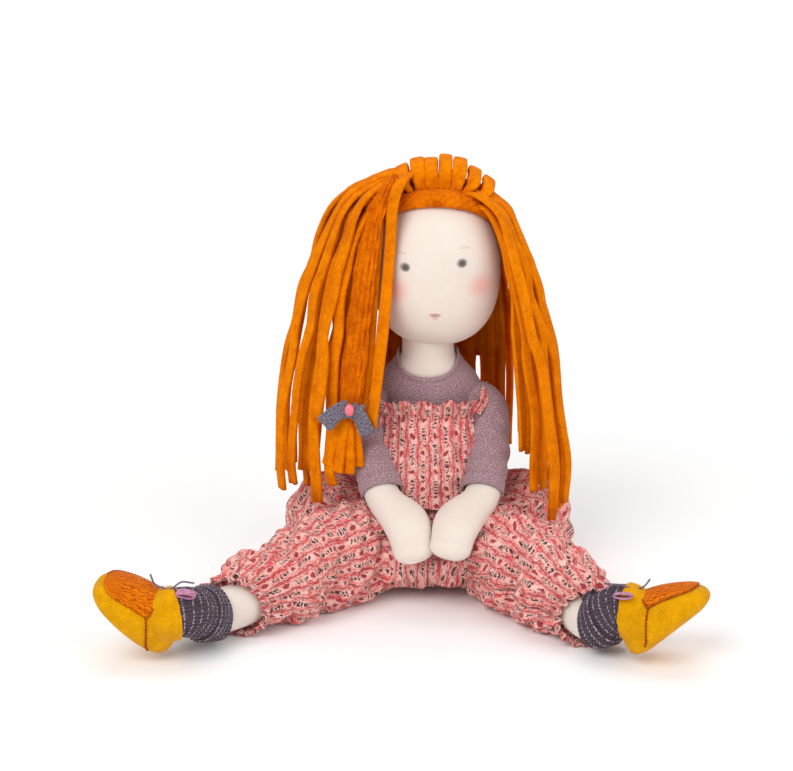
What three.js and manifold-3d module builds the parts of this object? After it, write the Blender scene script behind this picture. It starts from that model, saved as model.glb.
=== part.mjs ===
// A seated rag doll: stuffed cotton body, marl shirt, gathered romper, felt strip hair,
// ribbed socks and felt slippers. Millimetres, +Z up, +X to the viewer's right, -Y towards the
// viewer. The doll sits on the plane z = 0.
import * as THREE from 'three';
import { mergeVertices } from 'three/addons/utils/BufferGeometryUtils.js';
import Module from 'manifold-3d';

const wasm = await Module();
wasm.setup();

// General
const GAP = 0.35;
const FLAT_CUT = 0.5;
const SIDES = 12;
const TORSO_SIDES = 18;
const EASE = 0.18;
const WELD = 0.08;
const TOUCH = 0.03;

// Torso: height, half width, half depth of the stuffed bag
const TORSO = [
  [3, 27, 20], [12, 36, 29], [34, 37, 31], [60, 32, 28], [86, 27.5, 23],
  [106, 27, 19], [119, 26, 17], [128, 22, 16.5], [134, 18.5, 16],
];
const TORSO_BASE = TORSO[0][0];
const TORSO_TOP = TORSO.at(-1)[0];
const SKIN_WALL = 1.2;
const PELLET_TOP = 20;
const NECK_RADIUS = 16;
const NECK_TOP = 163;

// Shirt and romper, as distances outside the torso skin
const SHIRT_WALL = 1.2;
const SHIRT_HEM = 52;
const ROMPER_WALL = 1.6;
const ROMPER_TOP = 112;
const WAIST = 60;
const FRILL_HEIGHT = 6.5;
const FRILL_FLARE = 2.4;
const PLEATS = 9;
const PLEAT_DEPTH = 1.1;
const STRAP_WIDTH = 6;
const STRAP_X = 19.8;
const STRAP_WALL = 1.2;
const SEAT_HALF_WIDTH = 90;
const SEAT_HALF_DEPTH = 54;
const SEAT_FORWARD = 12;
const SEAT_HEIGHT = 54;

const SEAT_FOLDS = 9;
const SEAT_FOLD = 1.5;
const PUFF = [57, 4, 32];
const PUFF_RADII = [34, 33, 36];
const SHIRT_OUTER = GAP + SHIRT_WALL;
const ROMPER_INNER = SHIRT_OUTER + GAP;
const ROMPER_OUTER = ROMPER_INNER + ROMPER_WALL;

// Head and felt cap
const HEAD_CENTRE = [5, 0, 205];
const HEAD_RADII = [40, 38, 47];
const CAP_WALL = 3;
const HAIRLINE_HEIGHT = 237;
const HAIRLINE_DEPTH = 33;
const CAP_SLOPE = 0.86;
const JAW_TAPER = 0.06;

// Arms: the pivot is the seam at the shoulder
const SHOULDER = [40, -2, 108];
const ELBOW = [47.5, -13, 84];
const WRIST = [28, -44, 63];
const KNUCKLE = [15, -62, 52.5];
const FINGERTIP = [8, -78, 41];
const ARM_RADIUS = 9.8;
const SLEEVE_WALL = 1.3;
const ARM_STEPS = 12;
const SLEEVE_STEPS = 6;

// Legs: a pivot at each hip, and the direction in which each leg is splayed
const HIP = [35, -28, 26.5];
const LEG_REACH = 160;
const HIP_SWING = 80;
const PANT_RADIUS = 27;
const PANT_LENGTH = 100;
const HEM_RADIUS = 18.5;
const HEM_FRILL = 6;
const HEM_FLARE = 1.8;
const CALF_RADIUS = 14;
const SOCK_WALL = 1.2;
const SOCK_CUFF_WALL = 1.6;
const LEG_STEPS = 15;
const SOCK_FROM = 9;
const SOCK_TO = 13;
const COLLAR_FROM = SOCK_FROM + 1;
const SOCK_OUTER = GAP + SOCK_WALL;
const CUFF_OUTER = SOCK_OUTER + GAP + SOCK_CUFF_WALL;
const SPLAY_LEFT = 46;
const SPLAY_RIGHT = 33;

// Slippers: sole length, widths and heights, measured along the foot
const SHOE_LENGTH = 58;
const SHOE_WIDTH = 36.6;
const SHOE_HEIGHT = 29;
const TOE_HEIGHT = 21;
const FELT = 2;
const SOLE_THICKNESS = 2.2;
const SEAM_AT = 27;
const COLLAR_AT = 12;
const SHOE_BELLY = 7;
const VAMP_WIDTH = 24;
const VAMP_MARGIN = 7;
const LACE_RADIUS = 0.7;
const LACE_AT = 37;
const TAB_AT = 39;
const TAB_SLOPE = 0.3;
const TAB_LENGTH = 11;
const TAB_WIDTH = 5;
const TAB_HEIGHT = 4.4;
const TAB_WALL = 1.1;
const CREASE = 0.6;

// Hair: felt strips sewn to a pad on the cap
const STRIP_WIDTH = 5;
const STRIP_THICK = 2.8;
const PAD_WALL = 2.6;
const PAD_FLOOR = 236;
const WEDGE_GAP = 0.5;
const STRIP_STEPS = 5;
const TIE_POINT = [-48, -32, 121];
const TIE_RADIUS = 7.6;
const TIED_AZIMUTH = 216;
const TASSEL = 31;
const TIE_WALL = 1.8;
const BOW_WIDTH = 6;
const BOW_THICK = 1.6;
const BEAD_RADIUS = 3;
const CROWN_HALF = 13.7;
const CROWN_PITCH = 5.35;
const COLUMN_REACH = CROWN_HALF + 3.4;
const INNER_SEAM = 22;
const OUTER_SEAM = 29;
const ROOT_RISE = 0.4;
const STANDOFF = 7;
const INNER_LAYER = 0.6;

const COLOURS = {
  skin: 0xf2e9e0, filling: 0xf7f5f0, pellets: 0xd9d4c8, shirt: 0x8e7c86, romper: 0xe57a7c,
  hair: 0xe88a12, cap: 0xd97a10, sock: 0x3e3542, shoe: 0xe5a200, vamp: 0xd9720f,
  lace: 0x6f6478, tab: 0xb56f92, bead: 0xe8607a, bow: 0x7b8296,
};

const ACROSS = new THREE.Vector3(1, 0, 0);
const DEEP = new THREE.Vector3(0, 1, 0);
const UPWARD = new THREE.Vector3(0, 0, 1);

const group = new THREE.Group();

// Adds one named piece of the doll to the group.
function piece(name, geometry, colour) {
  const material = new THREE.MeshStandardMaterial({ color: colour, roughness: 0.95, metalness: 0 });
  const mesh = new THREE.Mesh(geometry, material);
  mesh.name = name;
  group.add(mesh);
}

function vec(p) {
  return new THREE.Vector3(p[0], p[1], p[2]);
}

// Solid from a closed mesh, its shared points merged.
function solid(geometry, tolerance = 1e-4) {
  const plain = geometry.clone();
  plain.deleteAttribute('normal');
  plain.deleteAttribute('uv');
  const merged = mergeVertices(plain, tolerance);
  const vertProperties = new Float32Array(merged.attributes.position.array);
  const corners = merged.index.array;
  const kept = [];
  for (let i = 0; i < corners.length; i += 3) {
    const [a, b, c] = corners.slice(i, i + 3);
    if (a !== b && b !== c && c !== a) kept.push(a, b, c);
  }
  const triVerts = new Uint32Array(kept);
  return new wasm.Manifold(new wasm.Mesh({ numProp: 3, vertProperties, triVerts }));
}

// Main body of a cut solid, without the crumbs that a cut leaves.
function mainBody(body) {
  const parts = body.decompose();
  parts.sort((a, b) => b.volume() - a.volume());
  return parts[0];
}

function meshOf(body) {
  const mesh = body.getMesh();
  const geometry = new THREE.BufferGeometry();
  geometry.setAttribute('position', new THREE.BufferAttribute(mesh.vertProperties, 3));
  geometry.setIndex(new THREE.BufferAttribute(mesh.triVerts, 1));
  return geometry;
}

// Mesh geometry from a solid, without the points that hardly change its shape.
function geometryOf(body) {
  const eased = meshOf(mainBody(body.simplify(EASE)));
  return parted(meshOf(mainBody(solid(eased, WELD))));
}

// Where two folds of one body just touch, each point there is drawn a little into its own fold.
function parted(geometry) {
  const position = geometry.attributes.position;
  const places = new Map();
  const keys = [];
  for (let i = 0; i < position.count; i += 1) {
    const key = new THREE.Vector3().fromBufferAttribute(position, i).toArray().map((x) => x.toFixed(3)).join();
    keys.push(key);
    places.set(key, (places.get(key) || 0) + 1);
  }
  geometry.computeVertexNormals();
  const normal = geometry.attributes.normal;
  keys.forEach((key, i) => {
    if (places.get(key) === 1) return;
    const p = new THREE.Vector3().fromBufferAttribute(position, i);
    p.addScaledVector(new THREE.Vector3().fromBufferAttribute(normal, i), -TOUCH);
    position.setXYZ(i, p.x, p.y, p.z);
  });
  geometry.deleteAttribute('normal');
  return geometry;
}

// Closed surface from rings of equal length. Each end is a fan to its ring's centre, or, with
// joined true, the last ring meets the first, which makes a wall with an inside and an outside.
function loft(rings, joined = false) {
  const count = rings[0].length;
  const points = rings.flat();
  const index = [];
  const last = joined ? rings.length : rings.length - 1;
  for (let i = 0; i < last; i += 1) {
    const near = i * count;
    const far = ((i + 1) % rings.length) * count;
    for (let j = 0; j < count; j += 1) {
      const k = (j + 1) % count;
      index.push(near + j, near + k, far + k, near + j, far + k, far + j);
    }
  }
  if (!joined) {
    for (const [ring, start, turn] of [[rings[0], 0, 1], [rings.at(-1), points.length - count, 0]]) {
      const centre = ring.reduce((sum, p) => sum.add(p), new THREE.Vector3()).divideScalar(count);
      const hub = points.length;
      points.push(centre);
      for (let j = 0; j < count; j += 1) {
        const k = (j + 1) % count;
        if (turn) index.push(hub, start + k, start + j);
        else index.push(hub, start + j, start + k);
      }
    }
  }
  return outward(points, index);
}

// Geometry with its faces turned so that they point out.
function outward(points, index) {
  let volume = 0;
  for (let i = 0; i < index.length; i += 3) {
    const [a, b, c] = [points[index[i]], points[index[i + 1]], points[index[i + 2]]];
    volume += a.dot(b.clone().cross(c));
  }
  if (volume < 0) index.reverse();
  const geometry = new THREE.BufferGeometry().setFromPoints(points);
  geometry.setIndex(index);
  return geometry;
}

// Ring of points about a centre, a wide along side and b along up; wave(angle) is added outward.
function ring(centre, side, up, a, b, sides = SIDES, wave = () => 0) {
  const points = [];
  for (let i = 0; i < sides; i += 1) {
    const angle = (i / sides) * Math.PI * 2;
    const extra = wave(angle);
    const p = centre.clone();
    p.addScaledVector(side, (a + extra) * Math.cos(angle));
    p.addScaledVector(up, (b + extra) * Math.sin(angle));
    points.push(p);
  }
  return points;
}

// Stuffed limb along a route. A station is a point with two half widths; the widths and the
// route are splined together, so that the limb swells and tapers between them.
class Limb {
  constructor(stations, up) {
    this.route = new THREE.CatmullRomCurve3(stations.map((s) => vec(s[0])), false, 'centripetal');
    this.widths = stations.map((s) => [s[1], s[2]]);
    this.up = up;
  }

  frame(u) {
    const centre = this.route.getPoint(u);
    const along = this.route.getTangent(u);
    const side = this.up.clone().cross(along).normalize();
    const top = along.clone().cross(side).normalize();
    return { centre, along, side, top };
  }

  halfWidths(u) {
    const at = u * (this.widths.length - 1);
    const i = Math.min(Math.floor(at), this.widths.length - 2);
    const t = at - i;
    const ease = t * t * (3 - 2 * t);
    return [0, 1].map((k) => this.widths[i][k] * (1 - ease) + this.widths[i + 1][k] * ease);
  }

  rings(from, to, steps, grow = 0, sides = SIDES, wave) {
    const rings = [];
    for (let i = 0; i <= steps; i += 1) {
      const u = from + ((to - from) * i) / steps;
      const { centre, side, top } = this.frame(u);
      const [a, b] = this.halfWidths(u);
      const here = wave && ((angle) => wave(angle, u));
      rings.push(ring(centre, side, top, a + grow, b + grow, sides, here));
    }
    return rings;
  }

  // Rings of a round end at u, of the given length; sense is -1 at the start and 1 at the end.
  dome(u, length, sense, grow = 0, sides = SIDES) {
    const { centre, along, side, top } = this.frame(u);
    const [a, b] = this.halfWidths(u);
    const rings = [];
    for (const degrees of [32, 64]) {
      const angle = THREE.MathUtils.degToRad(degrees);
      const at = centre.clone().addScaledVector(along, sense * (length + grow) * Math.sin(angle));
      const k = Math.cos(angle);
      rings.push(ring(at, side, top, (a + grow) * k, (b + grow) * k, sides));
    }
    return rings;
  }
}

// Torso layers: every layer has its rings at the same heights, so that the walls stay parallel.
function torsoRing(height, grow, wave) {
  const sides = wave ? TORSO_SIDES * 2 : TORSO_SIDES;
  let i = 1;
  while (i < TORSO.length - 1 && TORSO[i][0] < height) i += 1;
  const [below, above] = [TORSO[i - 1], TORSO[i]];
  const t = (height - below[0]) / (above[0] - below[0]);
  const a = THREE.MathUtils.lerp(below[1], above[1], t) + grow;
  const b = THREE.MathUtils.lerp(below[2], above[2], t) + grow;
  return ring(new THREE.Vector3(0, 0, height), ACROSS, DEEP, a, b, sides, wave);
}

function torsoRings(low, high, grow, wave) {
  const between = TORSO.map((station) => station[0]).filter((z) => z > low + 0.5 && z < high - 0.5);
  return [low, ...between, high].map((height) => torsoRing(height, grow, wave));
}

// Solid of the torso grown by a distance, closed top and bottom.
function torsoSolid(grow, low, high) {
  return solid(loft(torsoRings(low, high, grow)));
}

// Wave without height: gives a ring as many points as a pleated one.
function level() {
  return 0;
}

// Wall around the torso between two heights, from one distance out to another.
function torsoWall(low, high, inner, outer, wave) {
  const out = torsoRings(low, high, outer, wave);
  const inside = torsoRings(low, high, inner, wave && level);
  return solid(loft([...out, ...inside.reverse()], true));
}

function box(x0, x1, y0, y1, z0, z1) {
  const geometry = new THREE.BoxGeometry(x1 - x0, y1 - y0, z1 - z0);
  geometry.translate((x0 + x1) / 2, (y0 + y1) / 2, (z0 + z1) / 2);
  return solid(geometry);
}

const BIG = 400;

// Half space above the floor, for what lies flat on it.
const aboveFloor = box(-BIG, BIG, -BIG, BIG, 0, BIG);

function mirrorSide(point, hand) {
  return [point[0] * hand, point[1], point[2]];
}

// Room that an arm needs as it swings about its shoulder: a solid of revolution about X.
function armRoom(hand) {
  const inner = SHOULDER[0] - ARM_RADIUS - SLEEVE_WALL - GAP;
  const profile = [[0, inner], [11, inner], [30, inner + 5.5], [30, inner + 40], [0, inner + 40]];
  const lathe = new THREE.LatheGeometry(profile.map(([r, h]) => new THREE.Vector2(r, h)), 16);
  lathe.rotateZ(hand > 0 ? -Math.PI / 2 : Math.PI / 2);
  lathe.translate(0, SHOULDER[1], SHOULDER[2]);
  return closedLathe(lathe);
}

// A lathed solid with its repeated seam and pole points merged and its faces turned out.
function closedLathe(geometry) {
  const plain = geometry.clone();
  plain.deleteAttribute('normal');
  plain.deleteAttribute('uv');
  const merged = mergeVertices(plain, 1e-4);
  const position = merged.attributes.position;
  const points = [];
  for (let i = 0; i < position.count; i += 1) points.push(new THREE.Vector3().fromBufferAttribute(position, i));
  const index = [];
  const source = merged.index.array;
  for (let i = 0; i < source.length; i += 3) {
    const [a, b, c] = [source[i], source[i + 1], source[i + 2]];
    if (a !== b && b !== c && c !== a) index.push(a, b, c);
  }
  return solid(outward(points, index));
}

const armRooms = armRoom(1).add(armRoom(-1));

// Torso: skin bag open at the neck, pellets below, fibre above
function buildTorso() {
  const clear = armRooms.add(legRooms);
  const outer = torsoRings(TORSO_BASE, TORSO_TOP, 0);
  const inner = torsoRings(TORSO_BASE + SKIN_WALL, TORSO_TOP, -SKIN_WALL);
  const skin = solid(loft([...outer, ...inner.reverse()])).subtract(clear);
  piece('torso_skin', geometryOf(skin), COLOURS.skin);

  const shrink = -SKIN_WALL - GAP;
  const pellets = torsoSolid(shrink, TORSO_BASE + SKIN_WALL + GAP, PELLET_TOP).subtract(clear);
  piece('pellet_bag', geometryOf(pellets), COLOURS.pellets);
  const filling = torsoSolid(shrink, PELLET_TOP + GAP, TORSO_TOP - GAP).subtract(clear);
  piece('torso_filling', geometryOf(filling), COLOURS.filling);
}

// Neck: a stuffed tube of revolution on which the head turns
function neckProfile(grow) {
  const base = TORSO_TOP + GAP - grow;
  const r = NECK_RADIUS + grow;
  const points = [[0, base], [r, base], [r - 0.6, NECK_TOP - 18], [r, NECK_TOP - 7],
    [r - 4, NECK_TOP - 1.5 + grow], [0, NECK_TOP + grow]];
  return points.map(([x, y]) => new THREE.Vector2(x, y));
}

function neckSolid(grow) {
  const lathe = new THREE.LatheGeometry(neckProfile(grow), 24);
  lathe.rotateX(Math.PI / 2);
  return closedLathe(lathe);
}

function buildNeck() {
  piece('neck', geometryOf(neckSolid(0)), COLOURS.skin);

  // Neckband: dips at the front of the neck
  const base = TORSO_TOP + GAP;
  const [inner, outer] = [NECK_RADIUS + GAP, NECK_RADIUS + 2.6];
  const levels = [[outer, 0], [outer + 0.4, 0.5], [outer - 0.4, 1], [inner, 1], [inner, 0]];
  const rings = levels.map(([radius, share]) => {
    const points = [];
    for (let i = 0; i < 24; i += 1) {
      const angle = (i / 24) * Math.PI * 2;
      const height = 6 + 4 * Math.sin(angle);
      points.push(new THREE.Vector3(radius * Math.cos(angle), radius * Math.sin(angle), base + share * height));
    }
    return points;
  });
  piece('neckband', loft(rings, true), COLOURS.shirt);
}

// Shirt body, romper panels, frill and straps: walls that follow the torso
function buildClothes() {
  const shirt = torsoWall(SHIRT_HEM, TORSO_TOP, GAP, SHIRT_OUTER).subtract(armRooms);
  piece('shirt_body', geometryOf(shirt), COLOURS.shirt);

  const pleat = (angle) => PLEAT_DEPTH * 0.5 * (1 + Math.cos(PLEATS * angle));
  const panels = torsoWall(WAIST, ROMPER_TOP, ROMPER_INNER, ROMPER_OUTER, pleat).subtract(armRooms);
  const front = panels.intersect(box(-BIG, BIG, -BIG, -GAP / 2, 0, BIG));
  const back = panels.intersect(box(-BIG, BIG, GAP / 2, BIG, 0, BIG));
  piece('romper_front', geometryOf(front), COLOURS.romper);
  piece('romper_back', geometryOf(back), COLOURS.romper);

  const base = ROMPER_TOP + GAP;
  const top = base + FRILL_HEIGHT;
  const ruffle = (angle) => PLEAT_DEPTH * Math.cos(PLEATS * angle);
  const frill = solid(loft([
    torsoRing(base, ROMPER_OUTER, ruffle), torsoRing(top, ROMPER_OUTER + FRILL_FLARE, ruffle),
    torsoRing(top, ROMPER_INNER + 0.8, level), torsoRing(base, ROMPER_INNER, level),
  ], true)).subtract(armRooms);
  piece('romper_frill', geometryOf(frill), COLOURS.romper);

  const over = torsoSolid(ROMPER_INNER + STRAP_WALL, top, TORSO_TOP + GAP);
  const band = over.subtract(torsoSolid(ROMPER_INNER, TORSO_BASE, TORSO_TOP + 1));
  for (const [name, hand] of [['strap_left', -1], ['strap_right', 1]]) {
    const [near, far] = [STRAP_X * hand, (STRAP_X + STRAP_WIDTH) * hand];
    const slot = box(Math.min(near, far), Math.max(near, far), -BIG, BIG, top + GAP, BIG);
    piece(name, geometryOf(band.intersect(slot).subtract(armRooms)), COLOURS.romper);
  }
}

// Direction in which a leg lies, and the frame of the slipper on it: where the heel of the sole
// touches down, which way the toes point, and which way the top of the foot faces.
const LEGS = [
  {
    name: 'left', hand: -1, splay: SPLAY_LEFT, ankle: 137, heel: [-155, -131, 1.5],
    toes: [-0.70, -0.065, 0.71], top: [0.696, -0.228, 0.666],
  },
  {
    name: 'right', hand: 1, splay: SPLAY_RIGHT, ankle: 128, heel: [118, -140, 1.5],
    toes: [0.755, -0.010, 0.651], top: [-0.64, 0.025, 0.765],
  },
];

// Way out along a leg, level with the floor.
function legWay(leg) {
  const angle = THREE.MathUtils.degToRad(leg.splay);
  return new THREE.Vector3(Math.sin(angle) * leg.hand, -Math.cos(angle), 0);
}

function hipPoint(leg) {
  return vec(mirrorSide(HIP, leg.hand));
}

function alongLeg(leg, distance, height) {
  const p = hipPoint(leg).addScaledVector(legWay(leg), distance);
  return [p.x, p.y, height];
}

// Room that a trouser leg needs as it swings down from the seat: a slab as thick as the leg,
// round behind the hip.
function legRoom(leg) {
  const reach = PANT_RADIUS + GAP * 1.6;
  const swing = THREE.MathUtils.degToRad(HIP_SWING);
  const under = Math.PI * 1.5 - swing;
  const shape = new THREE.Shape();
  shape.moveTo(LEG_REACH, reach);
  shape.lineTo(0, reach);
  shape.absarc(0, 0, reach, Math.PI / 2, under, false);
  const foot = new THREE.Vector2(Math.cos(swing), -Math.sin(swing)).multiplyScalar(LEG_REACH);
  shape.lineTo(foot.x + reach * Math.cos(under), foot.y + reach * Math.sin(under));
  shape.lineTo(LEG_REACH, foot.y);
  const options = { depth: reach * 2, bevelEnabled: false, curveSegments: 6 };
  const geometry = new THREE.ExtrudeGeometry(shape, options);
  geometry.translate(0, 0, -reach);
  const way = legWay(leg);
  const upward = new THREE.Vector3(0, 0, 1);
  geometry.applyMatrix4(new THREE.Matrix4().makeBasis(way, upward, way.clone().cross(upward)));
  const hip = hipPoint(leg);
  geometry.translate(hip.x, hip.y, hip.z);
  return solid(geometry);
}

// Ball stretched along the axes, as a closed mesh.
function ellipsoid(centre, radii, sides, levels) {
  const rings = [];
  for (let i = 1; i < levels; i += 1) {
    const angle = (i / levels) * Math.PI;
    const at = vec(centre);
    at.z -= radii[2] * Math.cos(angle);
    const k = Math.sin(angle);
    rings.push(ring(at, ACROSS, DEEP, radii[0] * k, radii[1] * k, sides));
  }
  return solid(loft(rings));
}

// Seat of the romper: a low cushion of gathered cloth around the hips, with a puff at each side
function buildSeat() {
  const rings = [];
  const fold = (angle) => SEAT_FOLD * Math.cos(SEAT_FOLDS * angle);
  for (let i = 0; i <= 6; i += 1) {
    const share = -0.9 + (1.88 * i) / 6;
    const width = (1 - Math.abs(share) ** 2.6) ** (1 / 2.2);
    const height = THREE.MathUtils.lerp(-FLAT_CUT, SEAT_HEIGHT, i / 6);
    const at = new THREE.Vector3(0, -SEAT_FORWARD, height);
    const [a, b] = [SEAT_HALF_WIDTH * width, SEAT_HALF_DEPTH * width];
    rings.push(ring(at, ACROSS, DEEP, a, b, 27, fold));
  }
  let seat = solid(loft(rings));
  for (const hand of [-1, 1]) seat = seat.add(ellipsoid(mirrorSide(PUFF, hand), PUFF_RADII, 14, 7));
  seat = seat.intersect(aboveFloor);
  seat = seat.subtract(torsoSolid(ROMPER_INNER, TORSO_BASE - GAP, TORSO_TOP));
  seat = seat.subtract(torsoSolid(ROMPER_OUTER + PLEAT_DEPTH + GAP, WAIST - GAP, ROMPER_TOP));
  piece('romper_seat', geometryOf(seat.subtract(legRooms)), COLOURS.romper);
}

// Head: filling and skin, open where the neck goes in, under a felt cap
function headSolid(grow, sides = 18, levels = 9) {
  const rings = [];
  for (let i = 1; i < levels; i += 1) {
    const angle = (i / levels) * Math.PI;
    const centre = vec(HEAD_CENTRE);
    centre.z -= (HEAD_RADII[2] + grow) * Math.cos(angle);
    const k = Math.sin(angle);
    const jaw = 1 - JAW_TAPER * Math.max(0, Math.cos(angle));
    const [a, b] = [HEAD_RADII[0] * jaw + grow, HEAD_RADII[1] + grow];
    rings.push(ring(centre, ACROSS, DEEP, a * k, b * k, sides));
  }
  return solid(loft(rings));
}

function buildHead() {
  const filling = headSolid(-SKIN_WALL - GAP, 12).subtract(neckSolid(GAP * 2));
  piece('head_filling', geometryOf(filling), COLOURS.filling);
  const skin = headSolid(0).subtract(headSolid(-SKIN_WALL, 12)).subtract(neckSolid(GAP));
  piece('head_skin', geometryOf(skin), COLOURS.skin);

  // The cap's front edge lies in a plane that slopes from the hairline down to the nape.
  const shell = headSolid(GAP + CAP_WALL).subtract(headSolid(GAP));
  const face = new THREE.BoxGeometry(BIG, BIG, BIG);
  face.translate(0, -BIG / 2, 0);
  face.rotateX(Math.atan(1 / CAP_SLOPE));
  face.translate(HEAD_CENTRE[0], -HAIRLINE_DEPTH, HAIRLINE_HEIGHT);
  piece('hair_cap', geometryOf(shell.subtract(solid(face))), COLOURS.cap);
}

// Arms: stuffed arm with a mitten hand, sleeve and cuff
function buildArm(name, hand) {
  const at = (p) => mirrorSide(p, hand);
  const r = ARM_RADIUS;
  const limb = new Limb([
    [at(SHOULDER), r, r], [at(ELBOW), r - 0.6, r - 0.6], [at(WRIST), r - 1.2, r - 1.4],
    [at(KNUCKLE), r + 1.8, r - 1.2], [at(FINGERTIP), r - 1.2, r - 3],
  ], new THREE.Vector3(0, -0.5, 0.86));
    const inset = -GAP * 1.8;
  const arm = [...limb.dome(0, r, -1, inset).reverse(), ...limb.rings(0, 1, ARM_STEPS, inset)];
  arm.push(...limb.dome(1, r - 3, 1, inset));
  piece(`arm_${name}`, loft(arm), COLOURS.skin);

  const cuffStart = (SLEEVE_STEPS - 1) / ARM_STEPS;
  const sleeveEnd = SLEEVE_STEPS / ARM_STEPS;
  const outer = [...limb.dome(0, r, -1, SLEEVE_WALL).reverse(),
    ...limb.rings(0, cuffStart, SLEEVE_STEPS - 1, SLEEVE_WALL)];
  const inner = [...limb.dome(0, r, -1, 0).reverse(), ...limb.rings(0, cuffStart, SLEEVE_STEPS - 1, 0)];
  piece(`sleeve_${name}`, loft([...outer, ...inner.reverse()]), COLOURS.shirt);

  const edge = cuffStart + 0.01;
  const band = limb.rings(edge, sleeveEnd, 1, SLEEVE_WALL + 0.5);
  const lining = limb.rings(edge, sleeveEnd, 1, 0);
  piece(`cuff_${name}`, loft([...band, ...lining.reverse()], true), COLOURS.shirt);
}

// Slipper in its own frame: x from the heel to the toes, y across, z up from the sole.
function slipperHeight(share) {
  const drop = THREE.MathUtils.smoothstep(share, 0.3, 0.85);
  return THREE.MathUtils.lerp(SHOE_HEIGHT, TOE_HEIGHT, drop);
}

// Height of the middle of the upper at a distance from the heel.
function instepHeight(x) {
  const angle = Math.acos(1 - (2 * x) / SHOE_LENGTH);
  const share = (angle / Math.PI - 0.06) / 0.88;
  return slipperHeight(share) * Math.sin(angle) ** 0.62;
}

function slipper(grow, sides = 12, stations = 7) {
  const rings = [];
  const belly = SHOE_BELLY;
  for (let i = 0; i <= stations; i += 1) {
    const share = i / stations;
    const angle = Math.PI * (0.06 + 0.88 * share);
    const x = SHOE_LENGTH / 2 - (SHOE_LENGTH / 2 + grow) * Math.cos(angle);
    const round = Math.sin(angle) ** 0.62;
    const broad = 0.8 + 0.2 * Math.sin(share * 2.26 + 0.3);
    const width = (SHOE_WIDTH / 2) * broad * round + grow;
    const above = slipperHeight(share) * round - belly + grow;
    const below = belly * Math.min(1, round + 0.15) + grow;
    const points = [];
    for (let j = 0; j < sides; j += 1) {
      const turn = (j / sides) * Math.PI * 2;
      const lift = Math.sin(turn);
      const z = lift > 0 ? belly + lift * above : belly - Math.abs(lift) ** 0.6 * below;
      points.push(new THREE.Vector3(x, Math.cos(turn) * width, z));
    }
    rings.push(points);
  }
  return solid(loft(rings));
}

// Vamp outline on top of the toes: square at the instep, round at the toe.
function vampPrism(grow) {
  const half = VAMP_WIDTH / 2 + grow;
  const rear = SEAM_AT + GAP / 2 - grow;
  const turn = SHOE_LENGTH - VAMP_MARGIN - VAMP_WIDTH / 2;
  const shape = new THREE.Shape();
  shape.moveTo(rear, -half);
  shape.lineTo(turn, -half);
  shape.absarc(turn, 0, half, -Math.PI / 2, Math.PI / 2, false);
  shape.lineTo(rear, half);
  const options = { depth: SHOE_HEIGHT * 2, bevelEnabled: false, curveSegments: 8 };
  const geometry = new THREE.ExtrudeGeometry(shape, options);
  geometry.translate(0, 0, SHOE_BELLY + 2);
  return solid(geometry);
}

// Frame of a slipper: its matrix puts a shape from the slipper's own frame on the leg's end.
function slipperFrame(leg) {
  const toes = vec(leg.toes).normalize();
  const top = vec(leg.top);
  top.addScaledVector(toes, -top.dot(toes)).normalize();
  const frame = new THREE.Matrix4().makeBasis(toes, top.clone().cross(toes), top);
  return frame.setPosition(vec(leg.heel));
}

function placed(body, matrix) {
  const geometry = meshOf(body);
  geometry.applyMatrix4(matrix);
  return solid(geometry);
}

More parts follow.
